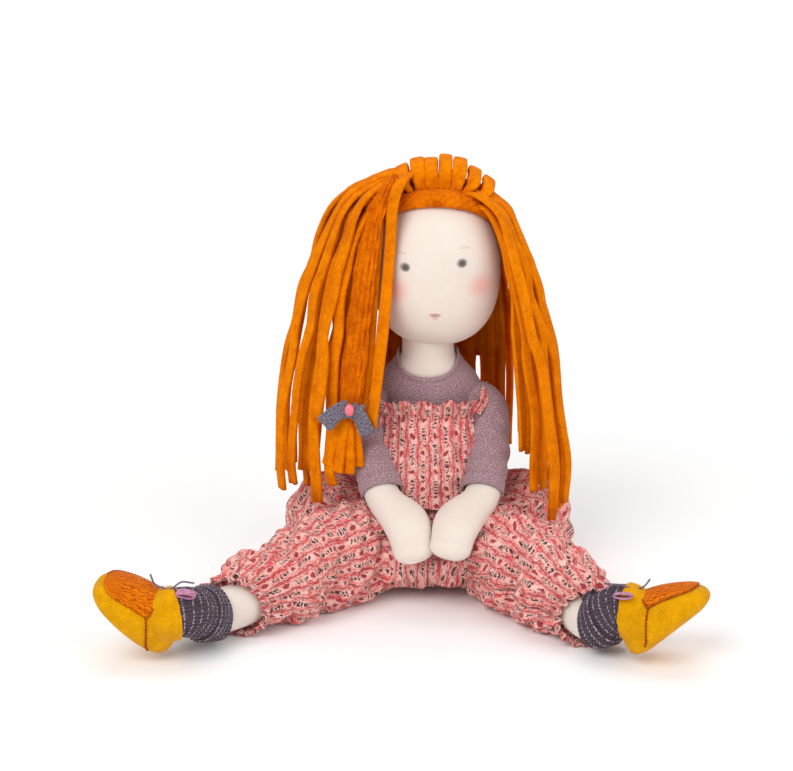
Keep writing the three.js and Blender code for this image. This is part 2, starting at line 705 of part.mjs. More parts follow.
function buildLeg(leg) {
  const frame = slipperFrame(leg);
  const onShoe = (x, z) => new THREE.Vector3(x, 0, z).applyMatrix4(frame).toArray();
  const c = CALF_RADIUS;

  // Stuffed leg: thigh inside the trouser, calf, ankle and foot
  const limb = new Limb([
    [alongLeg(leg, 12, HIP[2]), c + 5, c + 5], [alongLeg(leg, 55, HIP[2] - 1), c + 4, c + 4],
    [alongLeg(leg, 96, 20), c, c], [alongLeg(leg, leg.ankle - 10, 19.5), c - 0.6, c - 0.6],
    [onShoe(COLLAR_AT, SHOE_HEIGHT - 2), c - 1.4, c - 1.4], [onShoe(COLLAR_AT + 5, 11), c - 3, c - 3],
  ], UPWARD);
  const tube = (grow) => solid(loft([...limb.dome(0, c, -1, grow).reverse(), ...limb.rings(0, 1, LEG_STEPS, grow)]));
  const cuffRoom = solid(loft(limb.rings(SOCK_FROM / LEG_STEPS, COLLAR_FROM / LEG_STEPS, 1, CUFF_OUTER + GAP)));
  const foot = placed(slipper(-FELT - GAP * 2, 8, 5), frame).subtract(cuffRoom);
  piece(`leg_${leg.name}`, geometryOf(tube(0).add(foot)), COLOURS.skin);

  // Trouser leg: a full sleeve of cloth, gathered below the knee, and the frill of its hem
  const pr = PANT_RADIUS;
  const cloth = new Limb([
    [alongLeg(leg, 0, HIP[2]), pr, pr], [alongLeg(leg, 40, HIP[2]), pr, pr],
    [alongLeg(leg, 78, HIP[2] - 2), pr - 2, pr - 2.2], [alongLeg(leg, PANT_LENGTH, 19), HEM_RADIUS, HEM_RADIUS],
  ], UPWARD);
  const crease = (angle, u) => CREASE * (Math.cos(6 * angle) - 1) * THREE.MathUtils.smoothstep(u, 0.1, 0.6);
  const full = solid(loft([...cloth.dome(0, pr, -1, 0, 18).reverse(), ...cloth.rings(0, 1, 7, 0, 18, crease)]));
  const bore = tube(GAP);
  piece(`trouser_${leg.name}`, geometryOf(full.subtract(bore).intersect(aboveFloor)), COLOURS.romper);

  const end = cloth.frame(1);
  const ruffle = (angle) => 0.7 * Math.cos(9 * angle);
  const frill = [[GAP, HEM_RADIUS - 1], [GAP + HEM_FRILL, HEM_RADIUS - 1 + HEM_FLARE]].map(([away, radius]) => (
    ring(end.centre.clone().addScaledVector(end.along, away), end.side, end.top, radius, radius, 27, ruffle)));
  const hem = solid(loft(frill)).subtract(bore).intersect(aboveFloor);
  piece(`hem_frill_${leg.name}`, geometryOf(hem), COLOURS.romper);

  // Sock and its folded cuff, between steps of the leg
  const wrap = (first, last, inner, outer) => {
    const [from, to, steps] = [first / LEG_STEPS, last / LEG_STEPS, last - first];
    const out = limb.rings(from, to, steps, outer);
    return loft([...out, ...limb.rings(from, to, steps, inner).reverse()], true);
  };
  piece(`sock_${leg.name}`, wrap(SOCK_FROM, SOCK_TO, GAP, SOCK_OUTER), COLOURS.sock);
  const fold = wrap(SOCK_FROM, COLLAR_FROM, SOCK_OUTER + GAP, CUFF_OUTER);
  piece(`sock_cuff_${leg.name}`, fold, COLOURS.sock);

  // Slipper: sole, heel and toe parts meeting at a side seam, and the vamp let in on top
  const ankle = limb.rings(COLLAR_FROM / LEG_STEPS, 1, LEG_STEPS - COLLAR_FROM, SOCK_OUTER + GAP);
  const collar = solid(loft(ankle)).add(cuffRoom);
  const shell = slipper(0).subtract(slipper(-FELT));
  const upper = shell.intersect(box(-BIG, BIG, -BIG, BIG, SOLE_THICKNESS + GAP, BIG));
  const toe = upper.intersect(box(SEAM_AT + GAP / 2, BIG, -BIG, BIG, 0, BIG));
  const parts = {
    sole: shell.intersect(box(-BIG, BIG, -BIG, BIG, -BIG, SOLE_THICKNESS)),
    shoe_heel: upper.intersect(box(-BIG, SEAM_AT - GAP / 2, -BIG, BIG, 0, BIG)),
    shoe_toe: toe.subtract(vampPrism(GAP)),
    vamp: toe.intersect(vampPrism(0)),
  };
  for (const [name, body] of Object.entries(parts)) {
    const cut = placed(body, frame).subtract(collar).intersect(aboveFloor);
    piece(`${name}_${leg.name}`, geometryOf(cut), name === 'vamp' ? COLOURS.vamp : COLOURS.shoe);
  }

  // Lace: a thread knotted at the instep, and a ribbon tab behind it
  const rest = instepHeight(LACE_AT) + LACE_RADIUS;
  const route = [[LACE_AT, 2, rest], [LACE_AT - 1, 7, rest + 5], [LACE_AT - 6, 14, rest + 8], [LACE_AT - 13, 18, rest + 6]];
  const curve = new THREE.CatmullRomCurve3(route.map(vec));
  const thread = new THREE.Shape().absarc(0, 0, LACE_RADIUS, 0, Math.PI * 2);
  const lace = new THREE.ExtrudeGeometry(thread, { steps: 10, extrudePath: curve, curveSegments: 3 });
  lace.applyMatrix4(frame);
  piece(`lace_${leg.name}`, geometryOf(solid(lace)), COLOURS.lace);

  const loop = new THREE.Shape().absellipse(0, 0, TAB_LENGTH / 2, TAB_HEIGHT / 2, 0, Math.PI * 2);
  const [a, b] = [TAB_LENGTH / 2 - TAB_WALL, TAB_HEIGHT / 2 - TAB_WALL];
  loop.holes.push(new THREE.Path().absellipse(0, 0, a, b, 0, Math.PI * 2));
  const tab = new THREE.ExtrudeGeometry(loop, { depth: TAB_WIDTH, bevelEnabled: false, curveSegments: 7 });
  tab.rotateX(Math.PI / 2);
  tab.rotateY(TAB_SLOPE);
  tab.translate(TAB_AT, TAB_WIDTH / 2 - 5, instepHeight(TAB_AT) + TAB_HEIGHT / 2);
  tab.applyMatrix4(frame);
  piece(`tab_${leg.name}`, geometryOf(solid(tab)), COLOURS.tab);
}

// Hair: felt strips, each a flat ribbon that leaves the crown and hangs at one azimuth
const HAIR_SPREAD = [[-34, 0.62], [-10, 0.66], [20, 0.6], [52, 0.2], [90, 0.08], [128, 0.25], [155, 0.8],
  [180, 1], [200, 0.85], [215, 0.45], [232, 0.28]];
const FALL = [[250, 3], [240, 12], [222, 26], [190, 37], [150, 48], [115, 56], [80, 58], [30, 56]];

function interpolate(table, x) {
  if (x <= table[0][0]) return table[0][1];
  for (let i = 1; i < table.length; i += 1) {
    const [x0, y0] = table[i - 1];
    const [x1, y1] = table[i];
    if (x <= x1) return THREE.MathUtils.lerp(y0, y1, (x - x0) / (x1 - x0));
  }
  return table.at(-1)[1];
}

// Half width of the head in a direction at a height; below its middle the hair hangs free of it.
function headReach(azimuth, height) {
  const k = Math.max(0, (height - HEAD_CENTRE[2]) / HEAD_RADII[2]);
  const flat = 1 / Math.hypot(Math.cos(azimuth) / HEAD_RADII[0], Math.sin(azimuth) / HEAD_RADII[1]);
  return flat * Math.sqrt(Math.max(0.02, 1 - Math.min(k, 1) ** 2));
}

function polar(azimuth, radius, height) {
  const [x, y] = [HEAD_CENTRE[0] + radius * Math.cos(azimuth), HEAD_CENTRE[1] + radius * Math.sin(azimuth)];
  return new THREE.Vector3(x, y, height);
}

// Ribbon along a route, its flat face turned outwards; by default as wide and thick as a strip.
function ribbon(points, outwardAt, steps = STRIP_STEPS, width = STRIP_WIDTH, thick = STRIP_THICK) {
  const curve = new THREE.CatmullRomCurve3(points, false, 'centripetal');
  const rings = [];
  for (let i = 0; i <= steps; i += 1) {
    const at = curve.getPointAt(i / steps);
    const along = curve.getTangentAt(i / steps);
    const side = along.clone().cross(outwardAt(at)).normalize().multiplyScalar(width / 2);
    const face = side.clone().cross(along).normalize().multiplyScalar(thick / 2);
    rings.push([[1, 1], [-1, 1], [-1, -1], [1, -1]].map(([p, q]) => (
      at.clone().addScaledVector(side, p).addScaledVector(face, q))));
  }
  return solid(loft(rings));
}

function radialAt(at) {
  return new THREE.Vector3(at.x - HEAD_CENTRE[0], at.y - HEAD_CENTRE[1], 14).normalize();
}

// Route of one hanging strip: from its seam on the pad, over the crown, and down to its end.
function fallingRoute(degrees, seam, spread, end) {
  const azimuth = THREE.MathUtils.degToRad(degrees);
  const root = Math.max(seam, Math.min(seam + 4, COLUMN_REACH / Math.abs(Math.cos(azimuth))));
  const crown = padHeight(azimuth, root) + ROOT_RISE;
  const lift = Math.min(crown + 3.5 + 7 * spread, 262);
  const points = [polar(azimuth, root, crown), polar(azimuth, root + 6, lift)];
  for (const [height, out] of FALL) {
    const radius = headReach(azimuth, height) + STANDOFF + out * spread;
    if (height > end + 8 && height < crown - 2 && radius > root + 9) points.push(polar(azimuth, radius, height));
  }
  const last = headReach(azimuth, end) + STANDOFF + interpolate(FALL.map(([h, o]) => [-h, o]), -end) * spread;
  points.push(polar(azimuth, last, end));
  return points;
}

// Height of the middle of the pad at a distance from the crown's axis.
function padHeight(azimuth, radius) {
  const grow = GAP * 2 + CAP_WALL + PAD_WALL / 2;
  const flat = 1 / Math.hypot(Math.cos(azimuth) / (HEAD_RADII[0] + grow), Math.sin(azimuth) / (HEAD_RADII[1] + grow));
  return HEAD_CENTRE[2] + (HEAD_RADII[2] + grow) * Math.sqrt(1 - (radius / flat) ** 2);
}

// Upright wedge between two azimuths about the crown's axis, half a gap inside each.
function wedge(from, to) {
  const [a, b] = [from, to].map(THREE.MathUtils.degToRad);
  const middle = (a + b) / 2;
  const apex = polar(middle, WEDGE_GAP / 2 / Math.sin((b - a) / 2), 0);
  const shape = new THREE.Shape();
  shape.moveTo(apex.x, apex.y);
  for (const angle of [a, middle, b]) {
    shape.lineTo(apex.x + BIG * Math.cos(angle), apex.y + BIG * Math.sin(angle));
  }
  return solid(new THREE.ExtrudeGeometry(shape, { depth: BIG, bevelEnabled: false }));
}

// Locks: name, the two azimuths between which its pad lies, and the heights at which its strips
// end. The second strip of three hangs from the outer seam, under the other two.
const LOCKS = [
  ['hair_right_front', -34, -3.4, [60, 66, 50]],
  ['hair_right_side', -3.4, 27.2, [70, 76, 66]],
  ['hair_right_back', 27.2, 57.8, [80, 86, 78]],
  ['hair_back_right', 57.8, 88.4, [88, 96, 84]],
  ['hair_back_left', 88.4, 119, [86, 94, 88]],
  ['hair_left_back', 119, 149.6, [84, 76, 88]],
  ['hair_left_side', 149.6, 180, [72, 118, 66]],
  ['hair_left_front', 180, 207, [68, 62, 70]],
  ['hair_face', 225, 241, [112]],
];

function buildHair() {
  const low = GAP * 2 + CAP_WALL;
  const pad = headSolid(low + PAD_WALL).subtract(headSolid(low));
  const column = box(HEAD_CENTRE[0] - CROWN_HALF, HEAD_CENTRE[0] + CROWN_HALF, -BIG, BIG, PAD_FLOOR, BIG);
  const upperPad = pad.intersect(box(-BIG, BIG, -BIG, BIG, PAD_FLOOR, BIG));

  for (const [name, from, to, ends] of LOCKS) {
    const back = from > 50 && to < 120;
    let lock = upperPad.intersect(wedge(from, to));
    if (!back) lock = mainBody(lock.subtract(column));
    const middle = (from + to) / 2;
    ends.forEach((end, i) => {
      const under = i === 1;
      const degrees = middle + ((i - (ends.length - 1) / 2) * (to - from)) / 4;
      const spread = interpolate(HAIR_SPREAD, degrees) * (under ? INNER_LAYER : 1);
      const route = fallingRoute(degrees, under ? OUTER_SEAM : INNER_SEAM, spread, end);
      lock = lock.add(ribbon(route, radialAt));
    });
    piece(name, geometryOf(lock), COLOURS.hair);
  }

  // Tied lock: a bundle of fine strips, drawn in at the tie and fanned out below it
  const azimuth = THREE.MathUtils.degToRad(TIED_AZIMUTH);
  const [x, y, z] = TIE_POINT;
  const hang = fallingRoute(TIED_AZIMUTH, INNER_SEAM, interpolate(HAIR_SPREAD, TIED_AZIMUTH), 180);
  const waist = TIE_RADIUS - GAP * 2;
  const bundle = new Limb([
    [hang[0].toArray(), 3, 1.2], [hang[1].toArray(), 3.6, 1.8], [hang[3].toArray(), 6.5, 3], [hang.at(-1).toArray(), 9, 4],
    [[x, y, z + 26], 9, 5.5], [[x, y, z], waist, waist], [[x, y, z - 14], 9, 6.5], [[x, y, z - TASSEL], 11, 6],
  ], new THREE.Vector3(Math.cos(azimuth), Math.sin(azimuth), 0));
  const groove = (angle) => (Math.cos(6 * angle) - 1) * 0.35;
  const strand = solid(loft(bundle.rings(0, 1, 14, 0, 12, groove)));
  const seam = mainBody(upperPad.intersect(wedge(207, 225)).subtract(column));
  piece('hair_tied', geometryOf(seam.add(strand)), COLOURS.hair);

  // Tie: a band round the tied lock, a strip of jersey across its front, and a bead on that
  const r = TIE_RADIUS + TIE_WALL;
  const profile = [[TIE_RADIUS, -2], [r, -2], [r, 2], [TIE_RADIUS, 2], [TIE_RADIUS, -2]];
  const band = new THREE.LatheGeometry(profile.map(([x, y]) => new THREE.Vector2(x, y)), 16);
  band.rotateX(Math.PI / 2);
  band.translate(...TIE_POINT);
  piece('tie_band', geometryOf(closedLathe(band)), COLOURS.bow);

  const front = -r - GAP - BOW_THICK / 2;
  const tails = [[-15, front + 1, -8], [-9, front - 0.4, 0], [0, front, 2], [7, front - 0.4, -1], [10, front + 1, -14]];
  const route = tails.map((p) => vec(p).add(vec(TIE_POINT)));
  const bow = ribbon(route, () => new THREE.Vector3(0, -1, 0), 9, BOW_WIDTH, BOW_THICK);
  piece('tie_bow', geometryOf(bow), COLOURS.bow);

  const before = front - BOW_THICK / 2 - GAP * 1.5 - BEAD_RADIUS;
  const bead = [TIE_POINT[0], TIE_POINT[1] + before, TIE_POINT[2] + 2];
  piece('tie_bead', geometryOf(ellipsoid(bead, [BEAD_RADIUS, BEAD_RADIUS, BEAD_RADIUS * 1.3], 10, 6)), COLOURS.bead);
}

// Crown strips: sewn behind the hairline, they rise and fall back over the crown
function crownRoute(x) {
  const points = [[x, -19, 0], [x * 1.02, -13, 264], [x * 1.1, 4, 271], [x * 1.3, 27, 264], [x * 1.6, 45, 238],
    [x * 1.9, 55, 200], [x * 2.1, 58, 160], [x * 2.2, 56, 118]];
  const route = points.map(([dx, y, z]) => new THREE.Vector3(HEAD_CENTRE[0] + dx, HEAD_CENTRE[1] + y, z));
  const flat = Math.hypot(x, 19);
  route[0].z = padHeight(Math.atan2(-19, x), flat);
  return route;
}

function crownOutward(at) {
  return new THREE.Vector3(0, at.y - HEAD_CENTRE[1] + 2, Math.max(4, at.z - HEAD_CENTRE[2])).normalize();
}

const crownStrips = [-2, -1, 0, 1, 2].map((i) => (
  ribbon(crownRoute(i * CROWN_PITCH), crownOutward, STRIP_STEPS + 3)));

function buildCrown() {
  const low = GAP * 2 + CAP_WALL;
  const pad = headSolid(low + PAD_WALL).subtract(headSolid(low));
  const half = CROWN_HALF - WEDGE_GAP;
  const centre = HEAD_CENTRE[0];
  let crown = pad.intersect(box(centre - half, centre + half, -BIG, -WEDGE_GAP, PAD_FLOOR, BIG));
  for (const strip of crownStrips) crown = crown.add(strip);
  piece('hair_crown', geometryOf(crown), COLOURS.hair);
}

const legRooms = legRoom(LEGS[0]).add(legRoom(LEGS[1]));

buildTorso();
buildNeck();
buildClothes();
buildSeat();
buildHead();
buildArm('left', -1);
buildArm('right', 1);
for (const leg of LEGS) buildLeg(leg);
buildHair();
buildCrown();

// The origin is the middle of the part's lowest face.
const bounds = new THREE.Box3().setFromObject(group);
const middle = bounds.getCenter(new THREE.Vector3());
group.position.set(-middle.x, -middle.y, -bounds.min.z);
group.updateMatrixWorld(true);

export default group;
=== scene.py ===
import math

import bmesh
import bpy
import numpy as np
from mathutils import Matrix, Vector


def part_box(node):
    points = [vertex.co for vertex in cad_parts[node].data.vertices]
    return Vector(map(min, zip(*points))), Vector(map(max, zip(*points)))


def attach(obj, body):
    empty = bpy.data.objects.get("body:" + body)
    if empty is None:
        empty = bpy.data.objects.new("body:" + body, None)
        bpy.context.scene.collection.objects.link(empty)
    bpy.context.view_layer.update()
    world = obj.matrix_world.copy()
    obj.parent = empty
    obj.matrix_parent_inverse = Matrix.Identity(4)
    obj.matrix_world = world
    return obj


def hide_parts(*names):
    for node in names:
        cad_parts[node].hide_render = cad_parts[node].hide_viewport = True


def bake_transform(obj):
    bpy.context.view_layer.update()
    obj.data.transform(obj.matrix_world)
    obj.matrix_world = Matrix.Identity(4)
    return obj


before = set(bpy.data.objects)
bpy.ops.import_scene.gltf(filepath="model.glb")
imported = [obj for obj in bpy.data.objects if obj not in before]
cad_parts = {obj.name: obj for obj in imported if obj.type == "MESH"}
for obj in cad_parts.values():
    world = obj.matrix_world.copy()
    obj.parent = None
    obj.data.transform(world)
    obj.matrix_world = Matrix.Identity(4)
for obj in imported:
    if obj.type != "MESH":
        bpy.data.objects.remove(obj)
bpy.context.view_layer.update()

# Camera, lamps and floor
# The doll sits on a white studio floor. Its sizes are in millimetres from its upright axis, which
# runs through the middle of its neck, with the floor at zero and the viewer towards -Y. The camera,
# the lamps and the floor are in metres.
neck_low, neck_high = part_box("neck")
AXIS = np.array([(neck_low.x + neck_high.x) / 2, (neck_low.y + neck_high.y) / 2, 0.0])


def placed(points):
    """Millimetres from the doll's axis at the floor, as metres in the frame."""
    return np.asarray(points, float) / 1000 + AXIS


def paint(code):
    """sRGB hex as linear RGBA: a dark channel is divided by 12.92, a lighter one raised to 2.4."""
    channels = [int(code[i:i + 2], 16) / 255 for i in (1, 3, 5)]
    return [c / 12.92 if c < 0.04045 else ((c + 0.055) / 1.055) ** 2.4 for c in channels] + [1.0]


def add(tree, kind, settings, links=None):
    """Adds a shader node: settings are properties or input values, links are sockets to join to inputs."""
    node = tree.nodes.new("ShaderNode" + kind)
    for key, value in settings.items():
        if isinstance(key, str) and hasattr(node, key):
            setattr(node, key, value)
        else:
            node.inputs[key].default_value = value
    for key, socket in (links or {}).items():
        tree.links.new(socket, node.inputs[key])
    return node


CAMERA_TILT = math.radians(17)
CAMERA_DISTANCE = 1.15
FOCAL_PIXELS = 1840
IMAGE_WIDTH = 793
IMAGE_CENTRE = (396.5, 385.5)
TARGET_PIXEL = (428, 402)
target = Vector(placed([0, -20, 120]))
back = Vector((0, -math.cos(CAMERA_TILT), math.sin(CAMERA_TILT)))
lens = bpy.data.cameras.new("studio_camera")
lens.sensor_width = 36
lens.lens = 36 * FOCAL_PIXELS / IMAGE_WIDTH
lens.shift_x = (IMAGE_CENTRE[0] - TARGET_PIXEL[0]) / IMAGE_WIDTH
lens.shift_y = (TARGET_PIXEL[1] - IMAGE_CENTRE[1]) / IMAGE_WIDTH
camera = bpy.data.objects.new("studio_camera", lens)
camera.location = target + back * CAMERA_DISTANCE
camera.rotation_mode = "QUATERNION"
camera.rotation_quaternion = (-back).to_track_quat("-Z", "Y")
bpy.context.collection.objects.link(camera)
bpy.context.scene.camera = camera

for name, place, size, watts in (
    ("key_lamp", (-0.9, -1.3, 1.5), 1.4, 24),
    ("fill_lamp", (1.3, -1.0, 0.9), 1.6, 11),
    ("top_lamp", (0.1, 0.7, 1.7), 1.4, 10),
):
    light = bpy.data.lights.new(name, "AREA")
    light.size = size
    light.energy = watts
    lamp = bpy.data.objects.new(name, light)
    lamp.location = target + Vector(place)
    lamp.rotation_mode = "QUATERNION"
    lamp.rotation_quaternion = Vector(place).to_track_quat("Z", "Y")
    bpy.context.collection.objects.link(lamp)

world = bpy.data.worlds.new("studio_air")
world.use_nodes = True
bpy.context.scene.world = world
air = world.node_tree
air.nodes.clear()
seen = add(air, "LightPath", {})
white = add(air, "Background", {"Color": (1, 1, 1, 1), "Strength": 1.0})
soft = add(air, "Background", {"Color": (1, 1, 1, 1), "Strength": 0.48})
seen_mirrored = add(air, "Math", {"operation": "MAXIMUM"},
                    {0: seen.outputs["Is Camera Ray"], 1: seen.outputs["Is Glossy Ray"]})
air_mix = add(air, "MixShader", {}, {0: seen_mirrored.outputs[0], 1: soft.outputs[0], 2: white.outputs[0]})
add(air, "OutputWorld", {}, {"Surface": air_mix.outputs[0]})
bpy.context.scene.view_settings.view_transform = "Standard"


def dye(name, roughness, **settings):
    """New material with a Principled shader; underscores in a setting's name stand for spaces."""
    made = bpy.data.materials.new(name)
    made.use_nodes = True
    shader = made.node_tree.nodes["Principled BSDF"]
    shader.inputs["Roughness"].default_value = roughness
    for key, value in settings.items():
        shader.inputs[key.replace("_", " ")].default_value = value
    return made, made.node_tree, shader


# Matt white paper: near the doll it shows only its own soft shadow; further off it is the bare white
# of the photograph's background.
paper, paper_tree, paper_shader = dye("white_paper", 1.0, Base_Color=(0.98, 0.98, 0.98, 1))
paper_place = add(paper_tree, "TexCoord", {})
paper_far = add(paper_tree, "VectorMath", {"operation": "LENGTH"}, {0: paper_place.outputs["Object"]})
blank = add(paper_tree, "MapRange", {"interpolation_type": "SMOOTHSTEP", "From Min": 0.24, "From Max": 0.5},
            {"Value": paper_far.outputs["Value"]})
paper_seen = add(paper_tree, "LightPath", {})
paper_view = add(paper_tree, "Math", {"operation": "MULTIPLY"},
                 {0: blank.outputs[0], 1: paper_seen.outputs["Is Camera Ray"]})
paper_glow = add(paper_tree, "Emission", {"Color": (1, 1, 1, 1), "Strength": 1.0})
paper_mix = add(paper_tree, "MixShader", {},
                {0: paper_view.outputs[0], 1: paper_shader.outputs[0], 2: paper_glow.outputs[0]})
paper_tree.links.new(paper_mix.outputs[0], paper_tree.nodes["Material Output"].inputs["Surface"])
floor_mesh = bpy.data.meshes.new("studio_floor")
floor_mesh.from_pydata([(-4, -3, 0), (4, -3, 0), (4, 9, 0), (-4, 9, 0)], [], [(0, 1, 2, 3)])
floor_mesh.materials.append(paper)
floor = bpy.data.objects.new("studio_floor", floor_mesh)
bpy.context.collection.objects.link(floor)


# Stuffed limbs: the doll's body
# Arms and legs are tubes of cream cotton jersey, sewn along the back and stuffed with fibre, so they
# swell between the joints and end in a mitten hand. The same curves carry sleeves, socks and trousers.
def spline(points, u):
    """Smooth curve through points. Each span is a cubic whose end slopes come from its neighbours,
    weighted by the square roots of the chords. u runs from 0 to 1, an equal share to each span."""
    p = np.asarray(points, float)
    p = np.vstack([2 * p[0] - p[1], p, 2 * p[-1] - p[-2]])
    spans = len(p) - 3
    at = np.clip(np.asarray(u, float) * spans, 0, spans - 1e-9)
    i = at.astype(int)
    t = (at - i)[:, None]
    p0, p1, p2, p3 = p[i], p[i + 1], p[i + 2], p[i + 3]
    d0, d1, d2 = (np.sqrt(np.linalg.norm(b - a, axis=1))[:, None] for a, b in ((p0, p1), (p1, p2), (p2, p3)))
    m1 = ((p1 - p0) / d0 - (p2 - p0) / (d0 + d1) + (p2 - p1) / d1) * d1
    m2 = ((p2 - p1) / d1 - (p3 - p1) / (d1 + d2) + (p3 - p2) / d2) * d1
    return p1 + t * m1 + t**2 * (3 * (p2 - p1) - 2 * m1 - m2) + t**3 * (2 * (p1 - p2) + m1 + m2)


def unit(vectors):
    return vectors / np.maximum(np.linalg.norm(vectors, axis=-1, keepdims=True), 1e-9)


def shares(rows):
    """Shares from 0 to 1 down the rows of a grid, as a column."""
    return np.linspace(0, 1, rows)[:, None]


def turns(columns):
    """Angles once round the columns of a grid that closes on itself."""
    return np.linspace(0, 2 * np.pi, columns, endpoint=False)


def limb(stations, up, rows, columns, u0=0.0, u1=1.0, start=0.0, end=0.0, grow=0.0):
    """Grid of points of a stuffed tube. Its axis is the spline of the stations' points, and its half
    widths ease from station to station. start and end are the lengths of its round ends, where the
    axis runs on straight by length times a sine and the widths shrink by the cosine."""
    points = [s[0] for s in stations]
    u = np.linspace(u0, u1, rows)
    centre = spline(points, u)
    ahead = spline(points, np.clip(u + 0.004, 0, 1)) - spline(points, np.clip(u - 0.004, 0, 1))
    along = unit(ahead)
    at = u * (len(stations) - 1)
    i = np.minimum(at.astype(int), len(stations) - 2)
    ease = (at - i) ** 2 * (3 - 2 * (at - i))
    sizes = np.array([[s[1], s[2]] for s in stations], float)
    half = sizes[i] * (1 - ease[:, None]) + sizes[i + 1] * ease[:, None] + grow
    round_end = np.radians(np.linspace(88, 8, 9))
    if start:
        tip = centre[0] - along[0] * (start + grow) * np.sin(round_end)[:, None]
        centre = np.vstack([tip, centre])
        along = np.vstack([np.repeat(along[:1], 9, 0), along])
        half = np.vstack([half[:1] * np.cos(round_end)[:, None], half])
    if end:
        tip = centre[-1] + along[-1] * (end + grow) * np.sin(round_end[::-1])[:, None]
        centre = np.vstack([centre, tip])
        along = np.vstack([along, np.repeat(along[-1:], 9, 0)])
        half = np.vstack([half, half[-1:] * np.cos(round_end[::-1])[:, None]])
    side = unit(np.cross(np.asarray(up, float), along))
    top = np.cross(along, side)
    turn = turns(columns)
    return (centre[:, None] + side[:, None] * (half[:, :1] * np.cos(turn))[..., None]
            + top[:, None] * (half[:, 1:] * np.sin(turn))[..., None])


def grid_normals(grid):
    """Unit normals of a grid whose columns close on themselves: the cross product of its two slopes,
    turned away from the middle of each row."""
    across = np.roll(grid, -1, axis=1) - np.roll(grid, 1, axis=1)
    down = np.gradient(grid, axis=0)
    normal = unit(np.cross(down, across))
    outwards = grid - grid.mean(axis=1, keepdims=True)
    facing = np.sum(normal * outwards, axis=(1, 2))
    return normal * np.where(facing < 0, -1.0, 1.0)[:, None, None]


def raised(grid, heights):
    """The grid moved out along its normals, by a height at each point."""
    return grid + grid_normals(grid) * heights[..., None]


def creases(rows, columns, round_waves, long_waves, seed, count=7):
    """Soft creases between -1 and 1 on a grid that closes round its columns: a mean of slanted sine
    waves, whole numbers of them round the piece, with fixed random phases."""
    dice = np.random.default_rng(seed)
    turn, v = turns(columns), shares(rows)
    total = np.zeros((rows, columns))
    for _ in range(count):
        across = dice.integers(round_waves[0], round_waves[1] + 1)
        lengthways = dice.uniform(*long_waves) * dice.choice([-1, 1])
        total += np.sin(across * turn + 2 * np.pi * lengthways * v + dice.uniform(0, 2 * np.pi))
    return total / math.sqrt(count)


def cloth_piece(name, grid, finish, body, closed=True, capped=(False, False), wall=0.0):
    """Mesh of quads from a grid in millimetres, with a UV map in millimetres of cloth: u round the
    piece, v down it. capped closes the first or last row with a fan; wall gives it a thickness."""
    rows, columns = grid.shape[:2]
    index = np.arange(rows * columns).reshape(rows, columns)
    wide = np.hstack([index, index[:, :1]]) if closed else index
    quads = np.stack([wide[:-1, :-1], wide[:-1, 1:], wide[1:, 1:], wide[1:, :-1]], -1).reshape(-1, 4)
    points = grid.reshape(-1, 3)
    shut = np.concatenate([grid, grid[:, :1]], 1) if closed else grid
    step = np.linalg.norm(np.diff(shut, axis=1), axis=2).mean(axis=0)
    u = np.concatenate([[0], np.cumsum(step)])
    v = np.concatenate([[0], np.cumsum(np.linalg.norm(np.diff(grid, axis=0), axis=2).mean(axis=1))])
    uv_of = np.stack(np.meshgrid(u, v), -1)
    corner = [uv_of[:-1, :-1], uv_of[:-1, 1:], uv_of[1:, 1:], uv_of[1:, :-1]]
    uvs = np.stack(corner, 2).reshape(-1, 2)
    faces = quads.tolist()
    for ring, wanted in ((0, capped[0]), (rows - 1, capped[1])):
        if wanted:
            hub = len(points)
            points = np.vstack([points, grid[ring].mean(axis=0)])
            around = [[int(index[ring, j]), int(index[ring, (j + 1) % columns]), hub] for j in range(columns)]
            faces += around if ring else [[a, h, b] for a, b, h in around]
            uvs = np.vstack([uvs, np.tile([[0.0, v[ring]]], (3 * columns, 1))])
    mesh = bpy.data.meshes.new(name)
    mesh.from_pydata(placed(points).tolist(), [], faces)
    layer = mesh.uv_layers.new(name="UVMap")
    layer.data.foreach_set("uv", uvs.ravel().astype(np.float32))
    mesh.shade_smooth()
    mesh.materials.append(finish)
    work = bmesh.new()
    work.from_mesh(mesh)
    bmesh.ops.recalc_face_normals(work, faces=work.faces)
    work.to_mesh(mesh)
    work.free()
    made = bpy.data.objects.new(name, mesh)
    bpy.context.collection.objects.link(made)
    if wall:
        thick = made.modifiers.new("cloth_thickness", "SOLIDIFY")
        thick.thickness = wall / 1000
        thick.offset = -1
        settle(made)
    if body:
        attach(made, body)
    return made


def settle(made):
    """Applies a piece's modifiers to its mesh."""
    seen_by = bpy.context.evaluated_depsgraph_get()
    mesh = bpy.data.meshes.new_from_object(made.evaluated_get(seen_by))
    made.modifiers.clear()
    made.data = mesh


def coat(tree, shader, colour, height, strength, distance):
    """Links a colour to a shader, and a height to its normal, through a bump of a distance in metres."""
    tree.links.new(colour, shader.inputs["Base Color"])
    bump = add(tree, "Bump", {"Strength": strength, "Distance": distance}, {"Height": height})
    tree.links.new(bump.outputs[0], shader.inputs["Normal"])


# Cream cotton jersey, brushed: matt, slightly fuzzy, with fine knit rows that show as a faint grain.
skin, skin_tree, skin_shader = dye("cream_cotton_jersey", 0.92, Sheen_Weight=0.25, Sheen_Roughness=0.6,
                                   Specular_IOR_Level=0.25)
where = add(skin_tree, "TexCoord", {})
cloudy = add(skin_tree, "TexNoise", {"Scale": 60.0, "Detail": 3.0}, {"Vector": where.outputs["Object"]})
skin_tone = add(skin_tree, "MixRGB", {"Color1": paint("#E0D1C5"), "Color2": paint("#EADED4")},
                {"Fac": cloudy.outputs[0]})
